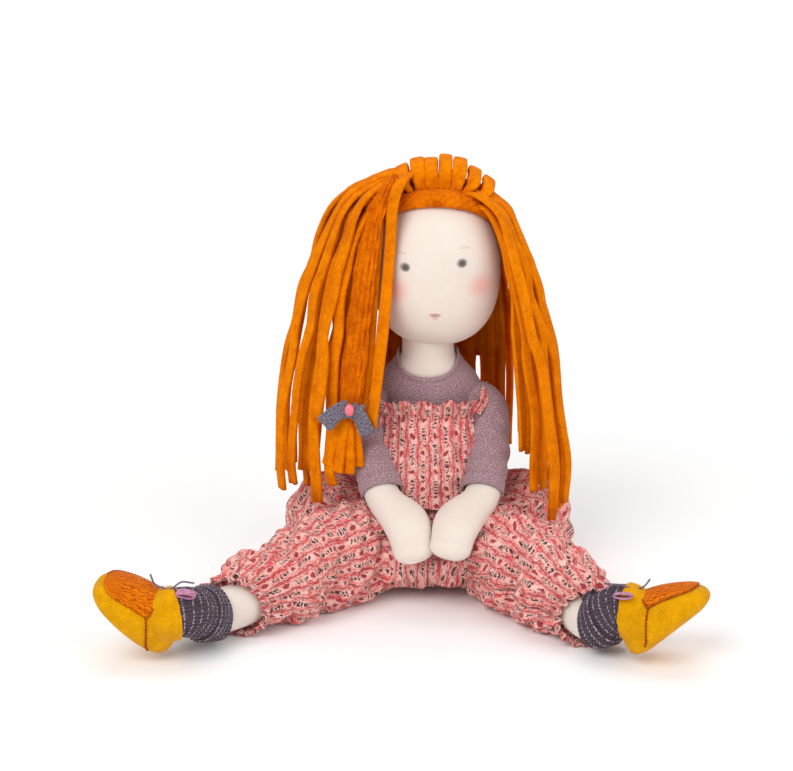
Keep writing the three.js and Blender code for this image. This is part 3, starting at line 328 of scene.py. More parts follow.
# The real stitches are 0.5 mm apart; at 1.1 mm they just show in the render.
KNIT_PITCH = 0.0011
knit = add(skin_tree, "TexVoronoi", {"Scale": 1 / KNIT_PITCH}, {"Vector": where.outputs["Object"]})
coat(skin_tree, skin_shader, skin_tone.outputs[0], knit.outputs["Distance"], 0.25, 0.0002)

# The right hand lies a little over the left one.
ARM_ROUTE = {
    "left": [([-38, -4, 111], 10.5, 10.2), ([-35, -20, 86], 11.6, 10.6), ([-27.5, -44, 65], 11.4, 9.6),
             ([-13.5, -60, 54], 14.8, 9.4), ([-9, -75, 42], 12.8, 7.4)],
    "right": [([38, -4, 111], 10.5, 10.2), ([38, -20, 86], 11.6, 10.6), ([33, -44, 65.5], 11.4, 9.6),
              ([18.5, -62.5, 56], 15.2, 9.4), ([13.6, -79, 45.5], 13.2, 7.4)],
}
ARM_UP = (0, -0.5, 0.86)
SIDES = (("left", -1), ("right", 1))

for side, hand in SIDES:
    grid = limb(ARM_ROUTE[side], ARM_UP, 70, 48, 0.2, 1.0, end=8.4, grow=-0.4)
    grid = raised(grid, creases(*grid.shape[:2], (1, 3), (0.5, 2), 11 + hand) * 0.22)
    arm = cloth_piece("arm_" + side + "_skin", grid, skin, "arm_" + side, capped=(True, True))
    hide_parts("arm_" + side)

# Each leg lies out along its own way on the floor; the foot at its end is inside the slipper.
HIP = (35, -28, 26.5)
LEG = {
    "left": {"hand": -1, "splay": 46, "ankle": 138, "heel": (-155, -131, 1.5),
             "toes": (-0.70, -0.065, 0.71), "top": (0.696, -0.228, 0.666)},
    "right": {"hand": 1, "splay": 33, "ankle": 128, "heel": (121, -143, 1.5),
              "toes": (0.755, -0.010, 0.651), "top": (-0.61, 0.30, 0.73)},
}
CALF = 14


def along_leg(side, distance, height):
    """Point at a distance from the hip along the way of a leg, at a height above the floor."""
    leg = LEG[side]
    angle = math.radians(leg["splay"])
    return [HIP[0] * leg["hand"] + math.sin(angle) * leg["hand"] * distance,
            HIP[1] - math.cos(angle) * distance, height]


def on_slipper(side, points):
    """Points of a slipper's own frame, x from the heel to the toes, y across, z up from the sole."""
    leg = LEG[side]
    toes = unit(np.array(leg["toes"]))
    top = np.array(leg["top"])
    top = unit(top - toes * np.dot(top, toes))
    basis = np.stack([toes, np.cross(top, toes), top])
    return np.asarray(points, float) @ basis + np.array(leg["heel"])


def leg_route(side):
    ankle = LEG[side]["ankle"]
    middle = [(along_leg(side, 12, 26.5), CALF + 5), (along_leg(side, 55, 25.5), CALF + 4),
              (along_leg(side, 96, 20), CALF), (along_leg(side, ankle - 10, 19.5), CALF - 0.6),
              (on_slipper(side, [13, 0, 27]).tolist(), CALF - 1.4),
              (on_slipper(side, [18, 0, 11]).tolist(), CALF - 3)]
    return [(point, radius, radius) for point, radius in middle]


for side in LEG:
    grid = limb(leg_route(side), (0, 0, 1), 60, 48, 0.12, 0.9, grow=-0.1)
    grid = raised(grid, creases(*grid.shape[:2], (1, 3), (0.5, 2), 21) * 0.2)
    calf = cloth_piece("leg_" + side + "_skin", grid, skin, "leg_" + side, capped=(True, True))
    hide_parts("leg_" + side)

# Neck: a stuffed tube of the same jersey
# It widens into the shoulders inside the shirt, and its top is hidden in the head. Each row of NECK is
# a height and the half widths there in X and Y.
NECK = np.array([(127, 31, 16.2), (134, 27.2, 16), (141, 20.8, 16), (147, 16.8, 16), (152, 16.2, 16.2),
                 (166, 16.8, 16.8)], float)
up_neck = np.linspace(127, 166, 50)[:, None]
turn = turns(64)
neck_wide, neck_deep = (np.interp(up_neck, NECK[:, 0], NECK[:, i]) for i in (1, 2))
neck_grid = np.stack([neck_wide * np.cos(turn), neck_deep * np.sin(turn), up_neck + 0 * turn], -1)
neck = cloth_piece("neck_skin", neck_grid, skin, "torso", capped=(True, True))
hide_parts("neck")

# Head: a stuffed ball of jersey, fuller at the cheeks, with a printed face
# The face is printed on the flat cloth before it is sewn: two soft round eyes, a small mouth, brows and a
# blush on each cheek. Between the eyes and the mouth, a soft spot of painted shade stands for a nose's
# shadow. Its places are in millimetres from the middle of the head.
HEAD = np.array([5.0, 0.0, 205.0])
HEAD_HALF = np.array([40.0, 38.0, 47.0])
CHIN_DROP = 51.0
# The upper half is an ellipsoid. The lower half is squarer, its sine and cosine raised to 0.78, so
# that the cheeks are full and the chin is broad and round.
rows, columns = 120, 144
polar, turn = np.linspace(0.012, np.pi - 0.02, rows)[:, None], turns(columns)
low = np.cos(polar) > 0
power = np.where(low, 0.78, 1.0)
out = np.sin(polar) ** power
down = np.abs(np.cos(polar)) ** power * np.where(low, CHIN_DROP, -HEAD_HALF[2])
grid = np.stack([(HEAD_HALF[0] + 0.6) * out * np.cos(turn), HEAD_HALF[1] * out * np.sin(turn),
                 -down + 0 * turn], -1) + HEAD
grid = raised(grid, creases(rows, columns, (1, 3), (0.4, 1.2), 5) * 0.25)
head = cloth_piece("head_skin_printed_and_shaded", grid, skin, "head", capped=(True, True))
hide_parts("head_skin")

# The same jersey with the face printed on it, and one spot of painted shade for the nose's shadow: each spot
# is a soft disc, by its distance in X and Z.
face = skin.copy()
face.name = "cream_cotton_jersey_printed_and_shaded"
face_tree = face.node_tree
face_shader = face_tree.nodes["Principled BSDF"]
spot_place = add(face_tree, "TexCoord", {})
ink_and_shade = face_shader.inputs["Base Color"].links[0].from_socket
in_front = add(face_tree, "SeparateXYZ", {}, {0: spot_place.outputs["Object"]})
is_front = add(face_tree, "Math", {"operation": "LESS_THAN", 1: float(placed(HEAD)[1] - 0.012)},
               {0: in_front.outputs["Y"]})
PRINT_AND_SHADE = (
    ("blush", -25.5, -10.5, 10.0, 9.5, 0.05, "#F0978A", 0.62),
    ("blush", 27.0, -8.5, 9.5, 9.5, 0.05, "#F0978A", 0.55),
    # Painted shade: a soft darker spot where a nose would cast its shadow; the head has no nose.
    ("painted_nose_shadow", 1.2, -16.0, 4.2, 1.4, 0.30, "#E3C9BC", 0.55),
    ("eye", -18.9, 4.3, 3.5, 3.1, 0.62, "#8E8A88", 0.85),
    ("eye", 15.5, 7.0, 3.5, 3.1, 0.62, "#8E8A88", 0.85),
    ("pupil", -18.6, 4.1, 2.6, 2.5, 0.4, "#4A4444", 0.9),
    ("pupil", 15.7, 6.8, 2.6, 2.5, 0.4, "#4A4444", 0.9),
    ("brow", -21.5, 12.6, 4.2, 0.9, 0.4, "#D9C2B4", 0.75),
    ("brow", 17.0, 15.8, 4.2, 0.9, 0.4, "#D9C2B4", 0.75),
    ("mouth", -0.7, -25.3, 3.9, 1.5, 0.5, "#B98A84", 0.9),
    ("lip", -0.7, -27.3, 2.6, 1.1, 0.4, "#DFA79E", 0.7),
)
for kind, x, z, half_x, half_z, softness, code, strength in PRINT_AND_SHADE:
    centre = placed(HEAD + np.array([x, 0, z]))
    off = add(face_tree, "VectorMath", {"operation": "SUBTRACT", 1: (float(centre[0]), 0, float(centre[2]))},
              {0: spot_place.outputs["Object"]})
    scaled = add(face_tree, "VectorMath", {"operation": "MULTIPLY", 1: (1000 / half_x, 0, 1000 / half_z)},
                 {0: off.outputs[0]})
    far = add(face_tree, "VectorMath", {"operation": "LENGTH"}, {0: scaled.outputs[0]})
    fade = {"interpolation_type": "SMOOTHSTEP", "From Min": 1.15, "From Max": softness, "To Min": 0.0,
            "To Max": strength}
    spot = add(face_tree, "MapRange", fade, {"Value": far.outputs["Value"]})
    masked = add(face_tree, "Math", {"operation": "MULTIPLY"}, {0: spot.outputs[0], 1: is_front.outputs[0]})
    ink_and_shade = add(face_tree, "MixRGB", {"Color2": paint(code)},
              {"Fac": masked.outputs[0], "Color1": ink_and_shade}).outputs[0]
face_tree.links.new(ink_and_shade, face_shader.inputs["Base Color"])
head.data.materials[0] = face


# Shirt: mauve grey marl jersey with long sleeves
# It is knitted from yarn of two greys with a little white, and sewn with a rolled neckband and
# turned cuffs; it wrinkles at the elbows.
def shades(ramp, *stops):
    """Gives a colour ramp its shades of dye: each is a place on the ramp and its sRGB hex."""
    ends = ramp.color_ramp.elements
    for end, (place, code) in zip((ends[0], ends[1]), (stops[0], stops[-1])):
        end.position, end.color = place, paint(code)
    for place, code in stops[1:-1]:
        ends.new(place).color = paint(code)


def spotted(tree, scale, stretch, place, detail=4.0):
    """Noise on a place, with its grain stretched by the given factors."""
    mapped = add(tree, "Mapping", {"Scale": stretch}, {"Vector": place})
    grain = {"Scale": scale, "Detail": detail, "Roughness": 0.6}
    return add(tree, "TexNoise", grain, {"Vector": mapped.outputs[0]}).outputs[0]


# Marl jersey: two yarns twisted together, so that light and dark flecks lie along the knit's rows.
marl, marl_tree, marl_shader = dye("marl_jersey", 0.95, Sheen_Weight=0.3, Sheen_Roughness=0.5,
                                   Specular_IOR_Level=0.2)
cloth_uv = add(marl_tree, "UVMap", {"uv_map": "UVMap"})
fleck = spotted(marl_tree, 0.8, (1.0, 1.5, 1.0), cloth_uv.outputs[0], 5.0)
fleck_tone = add(marl_tree, "ValToRGB", {}, {"Fac": fleck})
shades(fleck_tone, (0.34, "#7A5B64"), (0.52, "#9E7F86"), (0.68, "#C9B2B5"))
coat(marl_tree, marl_shader, fleck_tone.outputs[0], fleck, 0.4, 0.0003)

# Height of each ring round the torso, and its half widths in X and Y.
TORSO = np.array([(3, 27, 20), (12, 36, 29), (34, 37, 31), (60, 32, 28), (86, 28, 23), (106, 30, 19.5),
                  (119, 32, 18), (127, 32.5, 17.2), (134, 28.5, 16.8), (141, 22, 16.6), (147, 17.8, 16.4),
                  (152, 16.6, 16.4)], float)


def rounded(wave, power):
    """A sine or cosine raised to a power that keeps its sign; below 1 it fills the corners."""
    return np.sign(wave) * np.abs(wave) ** power


def torso_grid(low, high, grow, rows, columns, wide=0.0, square=1.0):
    """Rings round the torso between two heights, outside the body by a distance: an ellipse whose
    half widths run straight from one station of the body to the next. wide adds to its half width in
    X, and a square below 1 raises its cosine and sine to that power, which fills its corners."""
    turn = turns(columns)
    z = low + (high - low) * shares(rows) + 0 * turn
    a = np.interp(z, TORSO[:, 0], TORSO[:, 1]) + grow + wide
    b = np.interp(z, TORSO[:, 0], TORSO[:, 2]) + grow
    return np.stack([a * rounded(np.cos(turn), square), b * rounded(np.sin(turn), square), z], -1)


# The neckline is high at the sides and back, and scooped in front.
rows, columns = 76, 96
to_back = np.sin(turns(columns))
neckline = 147 + 1.5 * to_back - 12 * np.clip(-to_back, 0, 1) ** 2
grid = torso_grid(52, neckline, 1.3, rows, columns)
grid = raised(grid, creases(rows, columns, (2, 7), (0.5, 2), 31) * 0.25)
shirt = cloth_piece("shirt", grid, marl, "torso", wall=0.9)
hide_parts("shirt_body")

roll_turn = turns(14)[:, None, None]
band_at = torso_grid(0, neckline, 1.0, 2, columns)[1]
outwards = unit(band_at * np.array([1, 1, 0]))
grid = band_at + outwards * np.cos(roll_turn) + np.array([0, 0, 1.0]) * (1.7 * np.sin(roll_turn))
neckband = cloth_piece("neckband_roll", np.concatenate([grid, grid[:1]]), marl, "torso")
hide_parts("neckband")

for side, hand in SIDES:
    stations = [([24 * hand, -2, 120], 9, 9.5), ([36 * hand, -4, 112], 12.2, 11.5)] + ARM_ROUTE[side][1:3]
    columns = 72
    grid = limb(stations, ARM_UP, 96, columns, 0.0, 0.91, start=6, grow=1.5)
    rows = len(grid)
    v = shares(rows)
    at_elbow = 0.35 + 0.65 * np.exp(-((v - 0.62) / 0.25) ** 2)
    bunch = creases(rows, columns, (1, 5), (4, 9), 41 + hand) * at_elbow
    ring_fold = np.sin(2 * np.pi * 7 * v) * np.exp(-((v - 0.78) / 0.16) ** 2)
    grid = raised(grid, 0.7 * bunch + 0.5 * ring_fold)
    sleeve = cloth_piece("sleeve_" + side + "_cloth", grid, marl, None, capped=(True, False), wall=0.9)
    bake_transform(sleeve)
    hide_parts("sleeve_" + side)
    cuff_grid = limb(stations, ARM_UP, 12, 72, 0.88, 0.96, grow=2.0)
    cuff = cloth_piece("cuff_" + side + "_turned", cuff_grid, marl, "arm_" + side, wall=1.4)
    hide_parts("cuff_" + side)


# Romper: coral cotton crepe, printed, gathered at bib, waist and hems
# It is cut wide and drawn in on elastic, so that it puffs at the seat and the knees and stands up in
# a frill beyond each line of gathers. Each half of the seat runs on into its trouser leg.
def printed_cotton(name):
    """Printed crepe. Columns of small dark dashes on a pale streaky ground, staggered, with a crimson
    dot between the blocks, run down coral cloth; a crinkle runs lengthways. All sizes in mm of cloth."""
    made, tree, shader = dye(name, 0.9, Sheen_Weight=0.15, Specular_IOR_Level=0.25)
    uv = add(tree, "UVMap", {"uv_map": "UVMap"}).outputs[0]

    # The lines of the print wander and fray, as a crinkled cloth's do.
    bent = uv
    for scale, shift in ((0.11, (6.0, 8.0, 0.0)), (0.7, (2.4, 2.4, 0.0))):
        wobble = add(tree, "TexNoise", {"Scale": scale, "Detail": 2.0}, {"Vector": uv})
        bent = add(tree, "VectorMath", {"operation": "MULTIPLY_ADD", 1: shift},
                   {0: wobble.outputs["Color"], 2: bent}).outputs[0]
    axes = add(tree, "SeparateXYZ", {}, {0: bent})
    smudge = add(tree, "TexNoise", {"Scale": 0.9, "Detail": 2.0}, {"Vector": uv})
    part = {"x": axes.outputs["X"], "y": axes.outputs["Y"], "smudge": smudge.outputs[0],
            "streak": spotted(tree, 1.5, (1.0, 0.16, 1.0), uv, 2.0),
            "long_streak": spotted(tree, 1.1, (1.0, 0.12, 1.0), uv, 1.0)}

    # Widths of a column, a block and a dash, and how far down its block the dot is.
    COLUMN, BLOCK, DASH, DOT_AT = 7.8, 22.0, 2.2, 0.81
    # Each step is one sum: its result, what is done, and the parts or numbers that it is done with.
    for result, operation, *inputs in (
        ("column", "DIVIDE", "x", COLUMN), ("in_column", "FRACT", "column"),
        ("from_middle", "SUBTRACT", "in_column", 0.5), ("across", "ABSOLUTE", "from_middle"),
        ("number", "FLOOR", "column"), ("half_number", "MULTIPLY", "number", 0.5),
        ("odd", "FRACT", "half_number"), ("blocks", "DIVIDE", "y", BLOCK),
        ("down", "ADD", "blocks", "odd"), ("in_block", "FRACT", "down"),
        ("dashes", "MULTIPLY", "down", BLOCK / DASH), ("in_dash", "FRACT", "dashes"),
        ("dash_side", "SUBTRACT", "in_dash", 0.5), ("dash_row", "ABSOLUTE", "dash_side"),
        ("short", "LESS_THAN", "dash_row", 0.33), ("narrow", "LESS_THAN", "across", 0.15),
        ("high", "LESS_THAN", "in_block", 0.62), ("inked", "GREATER_THAN", "smudge", 0.42),
        ("dash", "MULTIPLY", "short", "narrow"), ("dash", "MULTIPLY", "dash", "high"),
        ("dash", "MULTIPLY", "dash", "inked"),
        ("below_dot", "SUBTRACT", "in_block", DOT_AT), ("off_dot", "ABSOLUTE", "below_dot"),
        ("away", "MULTIPLY", "off_dot", BLOCK / COLUMN), ("away_squared", "POWER", "away", 2.0),
        ("ragged", "MULTIPLY", "smudge", 0.12), ("aside", "ADD", "across", "ragged"),
        ("aside_squared", "POWER", "aside", 2.0), ("far", "ADD", "away_squared", "aside_squared"),
        ("dot", "LESS_THAN", "far", 0.06),
        ("wide_streak", "MULTIPLY", "streak", 0.9), ("to_edge", "ADD", "across", "wide_streak"),
        ("pale", "LESS_THAN", "to_edge", 0.66), ("bright", "GREATER_THAN", "long_streak", 0.55),
        ("thin_streak", "MULTIPLY", "streak", 0.22), ("at_edge", "ADD", "across", "thin_streak"),
        ("edge_line", "GREATER_THAN", "at_edge", 0.545),
        ("grimy", "GREATER_THAN", "smudge", 0.56), ("outer", "GREATER_THAN", "across", 0.2),
        ("speck", "MULTIPLY", "grimy", "outer"),
    ):
        numbers = {i: value for i, value in enumerate(inputs) if not isinstance(value, str)}
        sockets = {i: part[value] for i, value in enumerate(inputs) if isinstance(value, str)}
        part[result] = add(tree, "Math", {"operation": operation, **numbers}, sockets).outputs[0]

    ground = add(tree, "TexNoise", {"Scale": 0.16, "Detail": 4.0}, {"Vector": uv})
    base = add(tree, "ValToRGB", {}, {"Fac": ground.outputs[0]})
    shades(base, (0.36, "#F0625E"), (0.62, "#FFA69A"))
    colour = base.outputs[0]
    for mask, code, strength in (("pale", "#FFD2C8", 0.7), ("bright", "#FFDDD4", 0.6),
                                 ("edge_line", "#C03646", 0.75), ("speck", "#6A2638", 0.6),
                                 ("dot", "#A3142F", 0.92), ("dash", "#331B23", 0.95)):
        worn = add(tree, "Math", {"operation": "MULTIPLY", 1: strength}, {0: part[mask]})
        colour = add(tree, "MixRGB", {"Color2": paint(code)},
                     {"Fac": worn.outputs[0], "Color1": colour}).outputs[0]
    coat(tree, shader, colour, spotted(tree, 0.6, (1.0, 0.3, 1.0), uv, 3.0), 1.0, 0.003)
    return made


crepe = printed_cotton("printed_cotton_crepe")

# Bib: gathered on elastic under the frill; the folds fade towards the waist.
BIB_ROWS, BIB_COLUMNS = 90, 400
v, turn = shares(BIB_ROWS), turns(BIB_COLUMNS)
folds = np.cos(30 * turn + 2 * np.sin(3 * turn)) + 0.6 * np.cos(47 * turn + 1.3 + 1.5 * v)
grid = torso_grid(56, 112, 4.4 + 2.6 * np.sin(np.pi * v), BIB_ROWS, BIB_COLUMNS, 1.0 - 1.5 * v, 0.7)
flare = 5.5 * (1 - v) ** 1.6 - 1.2 * np.exp(-((v - 0.97) / 0.04) ** 2)
depth = 0.45 + 0.75 * v**1.5
wander = creases(BIB_ROWS, BIB_COLUMNS, (5, 16), (1, 4), 51) * 0.9 * (1 - 0.8 * v**3)
bib = cloth_piece("romper_bib", raised(grid, flare + depth * folds + wander), crepe, "torso", wall=0.6)
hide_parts("romper_front", "romper_back")

# Frill: the cloth beyond the elastic stands up and out in small scallops.
FRILL_ROWS = 30
v = shares(FRILL_ROWS)
scallop = np.cos(23 * turn + 2.4 * np.sin(2 * turn)) + 0.6 * np.cos(37 * turn + 3 * np.sin(3 * turn))
grid = torso_grid(110.6, 112.6, 3.4, FRILL_ROWS, BIB_COLUMNS, -1.5, 0.62)
outward = grid_normals(grid)
ruffle = creases(FRILL_ROWS, BIB_COLUMNS, (9, 30), (0.2, 1), 53)
grid[..., 2] = 109.6 + v * 11.5 + v * (1.4 * scallop + 1.8 * ruffle)
lean = 2.8 * np.sin(np.pi * v * 0.55) + 2.2 * v**1.5
grid += outward * (lean + (0.6 + 2.0 * v) * scallop + 1.6 * v * ruffle)[..., None]
frill = cloth_piece("romper_frill_gathered", grid, crepe, "torso", wall=0.6)
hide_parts("romper_frill")

# Straps: narrow tubes of the same crepe, from the frill up over the outer shoulders.
for side, hand in SIDES:
    route = [[30 * hand, -20, 113], [34 * hand, -16.5, 119], [36.5 * hand, -9, 124], [37 * hand, -1, 125],
             [36.5 * hand, 7, 123.5], [34 * hand, 15.5, 118.5], [30 * hand, 20, 113]]
    middle_line = spline(route, np.linspace(0, 1, 60))
    outwards = unit(middle_line - np.array([24 * hand, -1, 106.0]))
    way = unit(np.gradient(middle_line, axis=0))
    across_strap = unit(np.cross(way, outwards))
    wide, thick = 3.3 * rounded(np.cos(turns(20)), 0.6), 0.9 * rounded(np.sin(turns(20)), 0.6)
    grid = middle_line[:, None] + across_strap[:, None] * wide[:, None] + outwards[:, None] * thick[:, None]
    strap = cloth_piece("strap_" + side + "_tube", grid, crepe, "torso", capped=(True, True))
    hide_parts("strap_" + side)


def merged(name, grids, finish):
    """One piece of several closed grids."""
    parts = [cloth_piece(name + str(number), grid, finish, None, capped=(True, True))
             for number, grid in enumerate(grids)]
    work = bmesh.new()
    for part in parts:
        work.from_mesh(part.data)
        bpy.data.objects.remove(part)
    mesh = bpy.data.meshes.new(name)
    work.to_mesh(mesh)
    work.free()
    mesh.materials.append(finish)
    made = bpy.data.objects.new(name, mesh)
    bpy.context.collection.objects.link(made)
    return made


def joined_cloth(name, grids, voxel, finish):
    """One skin round several overlapping closed grids: they are joined, remeshed on a voxel grid and
    smoothed."""
    made = merged(name, grids, finish)
    melt = made.modifiers.new("join", "REMESH")
    melt.mode = "VOXEL"
    melt.voxel_size = voxel / 1000
    relax = made.modifiers.new("relax", "SMOOTH")
    relax.factor = 0.5
    relax.iterations = 4
    settle(made)
    return made


def points_of(made):
    """Vertices in millimetres from the doll's axis."""
    co = np.empty(len(made.data.vertices) * 3)
    made.data.vertices.foreach_get("co", co)
    return (co.reshape(-1, 3) - AXIS) * 1000


def set_points(made, co):
    made.data.vertices.foreach_set("co", placed(co).ravel())
    made.data.update()


def billow(made, free, most):
    """Cloth simulation: the stuffing presses the cloth outwards and there is more cloth than the form
    needs, so it wrinkles. free is 0 where it is sewn and 1 where it can move, most the limit in mm."""
    before = points_of(made)
    group = made.vertex_groups.new(name="sewn")
    for level in range(11):
        at_level = np.flatnonzero(np.round((1 - free) * 10) == level)
        group.add(at_level.tolist(), level / 10, "REPLACE")
    cloth = made.modifiers.new("billow", "CLOTH")
    cloth.settings.quality = 6
    cloth.settings.mass = 0.15
    cloth.settings.tension_stiffness = cloth.settings.compression_stiffness = 12
    cloth.settings.bending_stiffness = 0.15
    cloth.settings.vertex_group_mass = "sewn"
    cloth.settings.use_pressure = True
    cloth.settings.uniform_pressure_force = 4
    cloth.settings.shrink_min = -0.14
    cloth.settings.effector_weights.gravity = 0
    cloth.point_cache.frame_start = 1
    cloth.point_cache.frame_end = 20
    for frame_number in range(1, 21):
        bpy.context.scene.frame_set(frame_number)
    settle(made)
    bpy.context.scene.frame_set(1)
    made.vertex_groups.clear()
    moved = points_of(made) - before
    far = np.linalg.norm(moved, axis=1, keepdims=True)
    set_points(made, before + moved * np.minimum(1, most / np.maximum(far, 1e-6)))


def oval(centre, radii, rows=24, columns=40):
    """Closed ellipsoid grid with its poles up and down."""
    polar, turn = np.linspace(0.05, np.pi - 0.05, rows)[:, None], turns(columns)
    out = np.sin(polar)
    ball = np.stack([out * np.cos(turn), out * np.sin(turn), -np.cos(polar) + 0 * turn], -1)
    return ball * np.asarray(radii) + np.asarray(centre)


def smooth_step(x):
    x = np.clip(x, 0, 1)
    return x * x * (3 - 2 * x)


def face_means(mesh, *values):
    """Vertex at each corner of the faces, and for each corner the mean of every value over its face."""
    loops = np.empty(len(mesh.loops), np.int32)
    mesh.loops.foreach_get("vertex_index", loops)
    sizes = np.empty(len(mesh.polygons), np.int32)
    mesh.polygons.foreach_get("loop_total", sizes)
    starts = np.concatenate([[0], np.cumsum(sizes)[:-1]])
    return loops, *(np.repeat(np.add.reduceat(value[loops], starts) / sizes, sizes) for value in values)


# Half width of a leg, half width at its hem, the hem's distance from the hip, and how far it slants.
PANT, HEM, HEM_AT, HEM_SLANT = 27, 19, 108, 11
# Cloth round a leg; distance from the doll's axis at which the seat's print has its true size.
LEG_ROUND, SEAT_REACH = 170, 72
# The seat ends this far down from the waist, and reaches this far from the middle seam and off a
# leg's spine.
SEAT_DOWN, SEAT_MIDDLE, SEAT_SWELL = 66, 24, 35
for side, leg in LEG.items():
    hand = leg["hand"]
    stations = [(along_leg(side, 0, 26.5), PANT, PANT), (along_leg(side, 40, 27.5), PANT, PANT + 1),
                (along_leg(side, 80, 24.5), PANT - 2, PANT - 2.2), (along_leg(side, HEM_AT, 19), HEM, HEM)]
    trouser = limb(stations, (0, 0, 1), 40, 48, start=PANT)
    seat = oval([0, -9, 26], [60, 57, 26])
    puff = oval([56 * hand, 5, 31], [34, 33, 33])
    waist = oval([0, -1, 50], [46, 34, 26])
    half_seat = joined_cloth("romper_" + side, [trouser, seat, puff, waist], 4.2, crepe)
    hip = np.array(along_leg(side, 0, 0))
    lengthways = unit(np.array(along_leg(side, 1, 0)) - hip)
    far_side = np.array([lengthways[1] * -hand, lengthways[0] * hand, 0.0])
    co = points_of(half_seat)
    from_hip = (co - hip) @ lengthways
    sewn_middle = smooth_step((np.abs(co[:, 0]) - 3) / 12)
    sewn_hem = smooth_step((HEM_AT - 4 - from_hip) / 14)
    billow(half_seat, sewn_middle * sewn_hem * smooth_step((66 - co[:, 2]) / 10), 4.5)
    finer = half_seat.modifiers.new("finer", "SUBSURF")
    finer.levels = finer.render_levels = 2
    settle(half_seat)
    # The halves meet at the middle seam, and the cloth lies flat where it rests on the floor.
    work = bmesh.new()
    work.from_mesh(half_seat.data)
    everything = work.verts[:] + work.edges[:] + work.faces[:]
    cut = bmesh.ops.bisect_plane(work, geom=everything, plane_co=Vector(placed([0.1 * hand, 0, 0])),
                                 plane_no=Vector((-hand, 0, 0)), clear_outer=True)
    rim = [piece for piece in cut["geom_cut"] if isinstance(piece, bmesh.types.BMEdge)]
    bmesh.ops.holes_fill(work, edges=rim, sides=0)
    work.to_mesh(half_seat.data)
    work.free()
    co = points_of(half_seat)
    normal = np.empty(len(co) * 3)
    half_seat.data.vertices.foreach_get("normal", normal)
    normal = normal.reshape(-1, 3)
    # Place on the cloth: how far down from the waist along its spine, and how far round the spine.
    spine = spline([[20 * hand, 2, 74], [30 * hand, -2, 52], along_leg(side, 2, 30), along_leg(side, 45, 26),
                    along_leg(side, HEM_AT + 4, 19)], np.linspace(0, 1, 160))
    steps = np.concatenate([[0], np.cumsum(np.linalg.norm(np.diff(spine, axis=0), axis=1))])
    nearest = np.argmin(np.linalg.norm(co[:, None] - spine[None], axis=2), axis=1)
    way = unit(np.gradient(spine, axis=0))[nearest]
    side_way = unit(np.cross(np.array([0.2, -0.4, 1.0]), way))
    top_way = np.cross(way, side_way)
    off = co - spine[nearest]
    down = steps[nearest] + np.sum(off * way, axis=1)
    angle = np.arctan2(np.sum(off * top_way, axis=1), np.sum(off * side_way, axis=1))
    total = steps[-1]
    hem_pull = np.exp(-((total - down) / 24) ** 2)
    waist_pull = np.exp(-((down - 8) / 20) ** 2)
    pleat = np.cos(23 * angle + 2.2 * np.sin(2 * angle)) + 0.6 * np.cos(37 * angle + 0.05 * down)
    puckers = (np.sin(0.21 * down + 5 * angle + 1.5 * np.sin(3 * angle))
               + 0.8 * np.sin(0.43 * down - 7 * angle))
    puckers += (0.8 * np.sin(0.33 * down + 13 * angle + 2 * np.sin(2 * angle))
                + 0.7 * np.sin(0.6 * down + 4 * angle))
    free = np.clip(co[:, 2] / 5, 0, 1) * smooth_step(np.abs(co[:, 0]) / 4)
    lift = (1.3 * pleat * (hem_pull + 0.8 * waist_pull) + 1.15 * puckers * (1 - 0.6 * hem_pull)) * free
    co += normal * lift[:, None]
    # The hem is slanted: its far side reaches further along the leg.
    aside = (co - hip) @ far_side / HEM
    co += lengthways * (HEM_SLANT * aside * smooth_step((down - total + 50) / 50))[:, None]
    co[:, 0] = np.where(co[:, 0] * hand < 0.1, 0.1 * hand, co[:, 0])
    co[:, 2] = np.maximum(co[:, 2], 0.15)
    set_points(half_seat, co)
    half_seat.data.shade_smooth()
    # The print runs down the leg. On the seat, near the middle seam and where the seat swells far from
    # the leg's spine, it runs down from the waist instead.
    loops, face_down, face_aside, face_off = face_means(half_seat.data, down, np.abs(co[:, 0]),
                                                        np.linalg.norm(off, axis=1))
    on_seat = (face_down < SEAT_DOWN) | (face_aside < SEAT_MIDDLE) | (face_off > SEAT_SWELL)
    from_axis = np.hypot(co[:, 0], co[:, 1] + 4)
    seat_turn = np.arctan2(co[:, 1] + 4, co[:, 0] * hand) * hand
    seat_uv = np.stack([seat_turn * SEAT_REACH, 0.75 * (from_axis - co[:, 2])], -1)
    leg_uv = np.stack([angle / (2 * np.pi) * LEG_ROUND, down], -1)
    layer = half_seat.data.uv_layers.get("UVMap") or half_seat.data.uv_layers.new(name="UVMap")
    uvs = np.where(on_seat[:, None], seat_uv[loops], leg_uv[loops])
    layer.data.foreach_set("uv", uvs.ravel().astype(np.float32))
    half_seat.data.update()
    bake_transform(half_seat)
    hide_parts("romper_seat", "trouser_" + side)

    # Frill beyond the hem's elastic.
    rows, columns = 22, 220
    v, turn = shares(rows), turns(columns)
    stations = [(along_leg(side, HEM_AT - 2, 19.2), HEM - 2.2, HEM - 2.2),
                (along_leg(side, HEM_AT + 7, 18.6), HEM, HEM)]
    scallop = np.cos(19 * turn + 1.5 * np.sin(2 * turn)) + 0.4 * np.cos(31 * turn)
    grid = raised(limb(stations, (0, 0, 1), rows, columns), (0.3 + 1.2 * v) * scallop)
    aside = (grid - hip) @ far_side / HEM
    grid += lengthways * (HEM_SLANT * aside)[..., None]
    grid[..., 2] = np.maximum(grid[..., 2], 0.4)
    hem = cloth_piece("hem_frill_" + side + "_gathered", grid, crepe, "leg_" + side, wall=0.6)
    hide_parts("hem_frill_" + side)


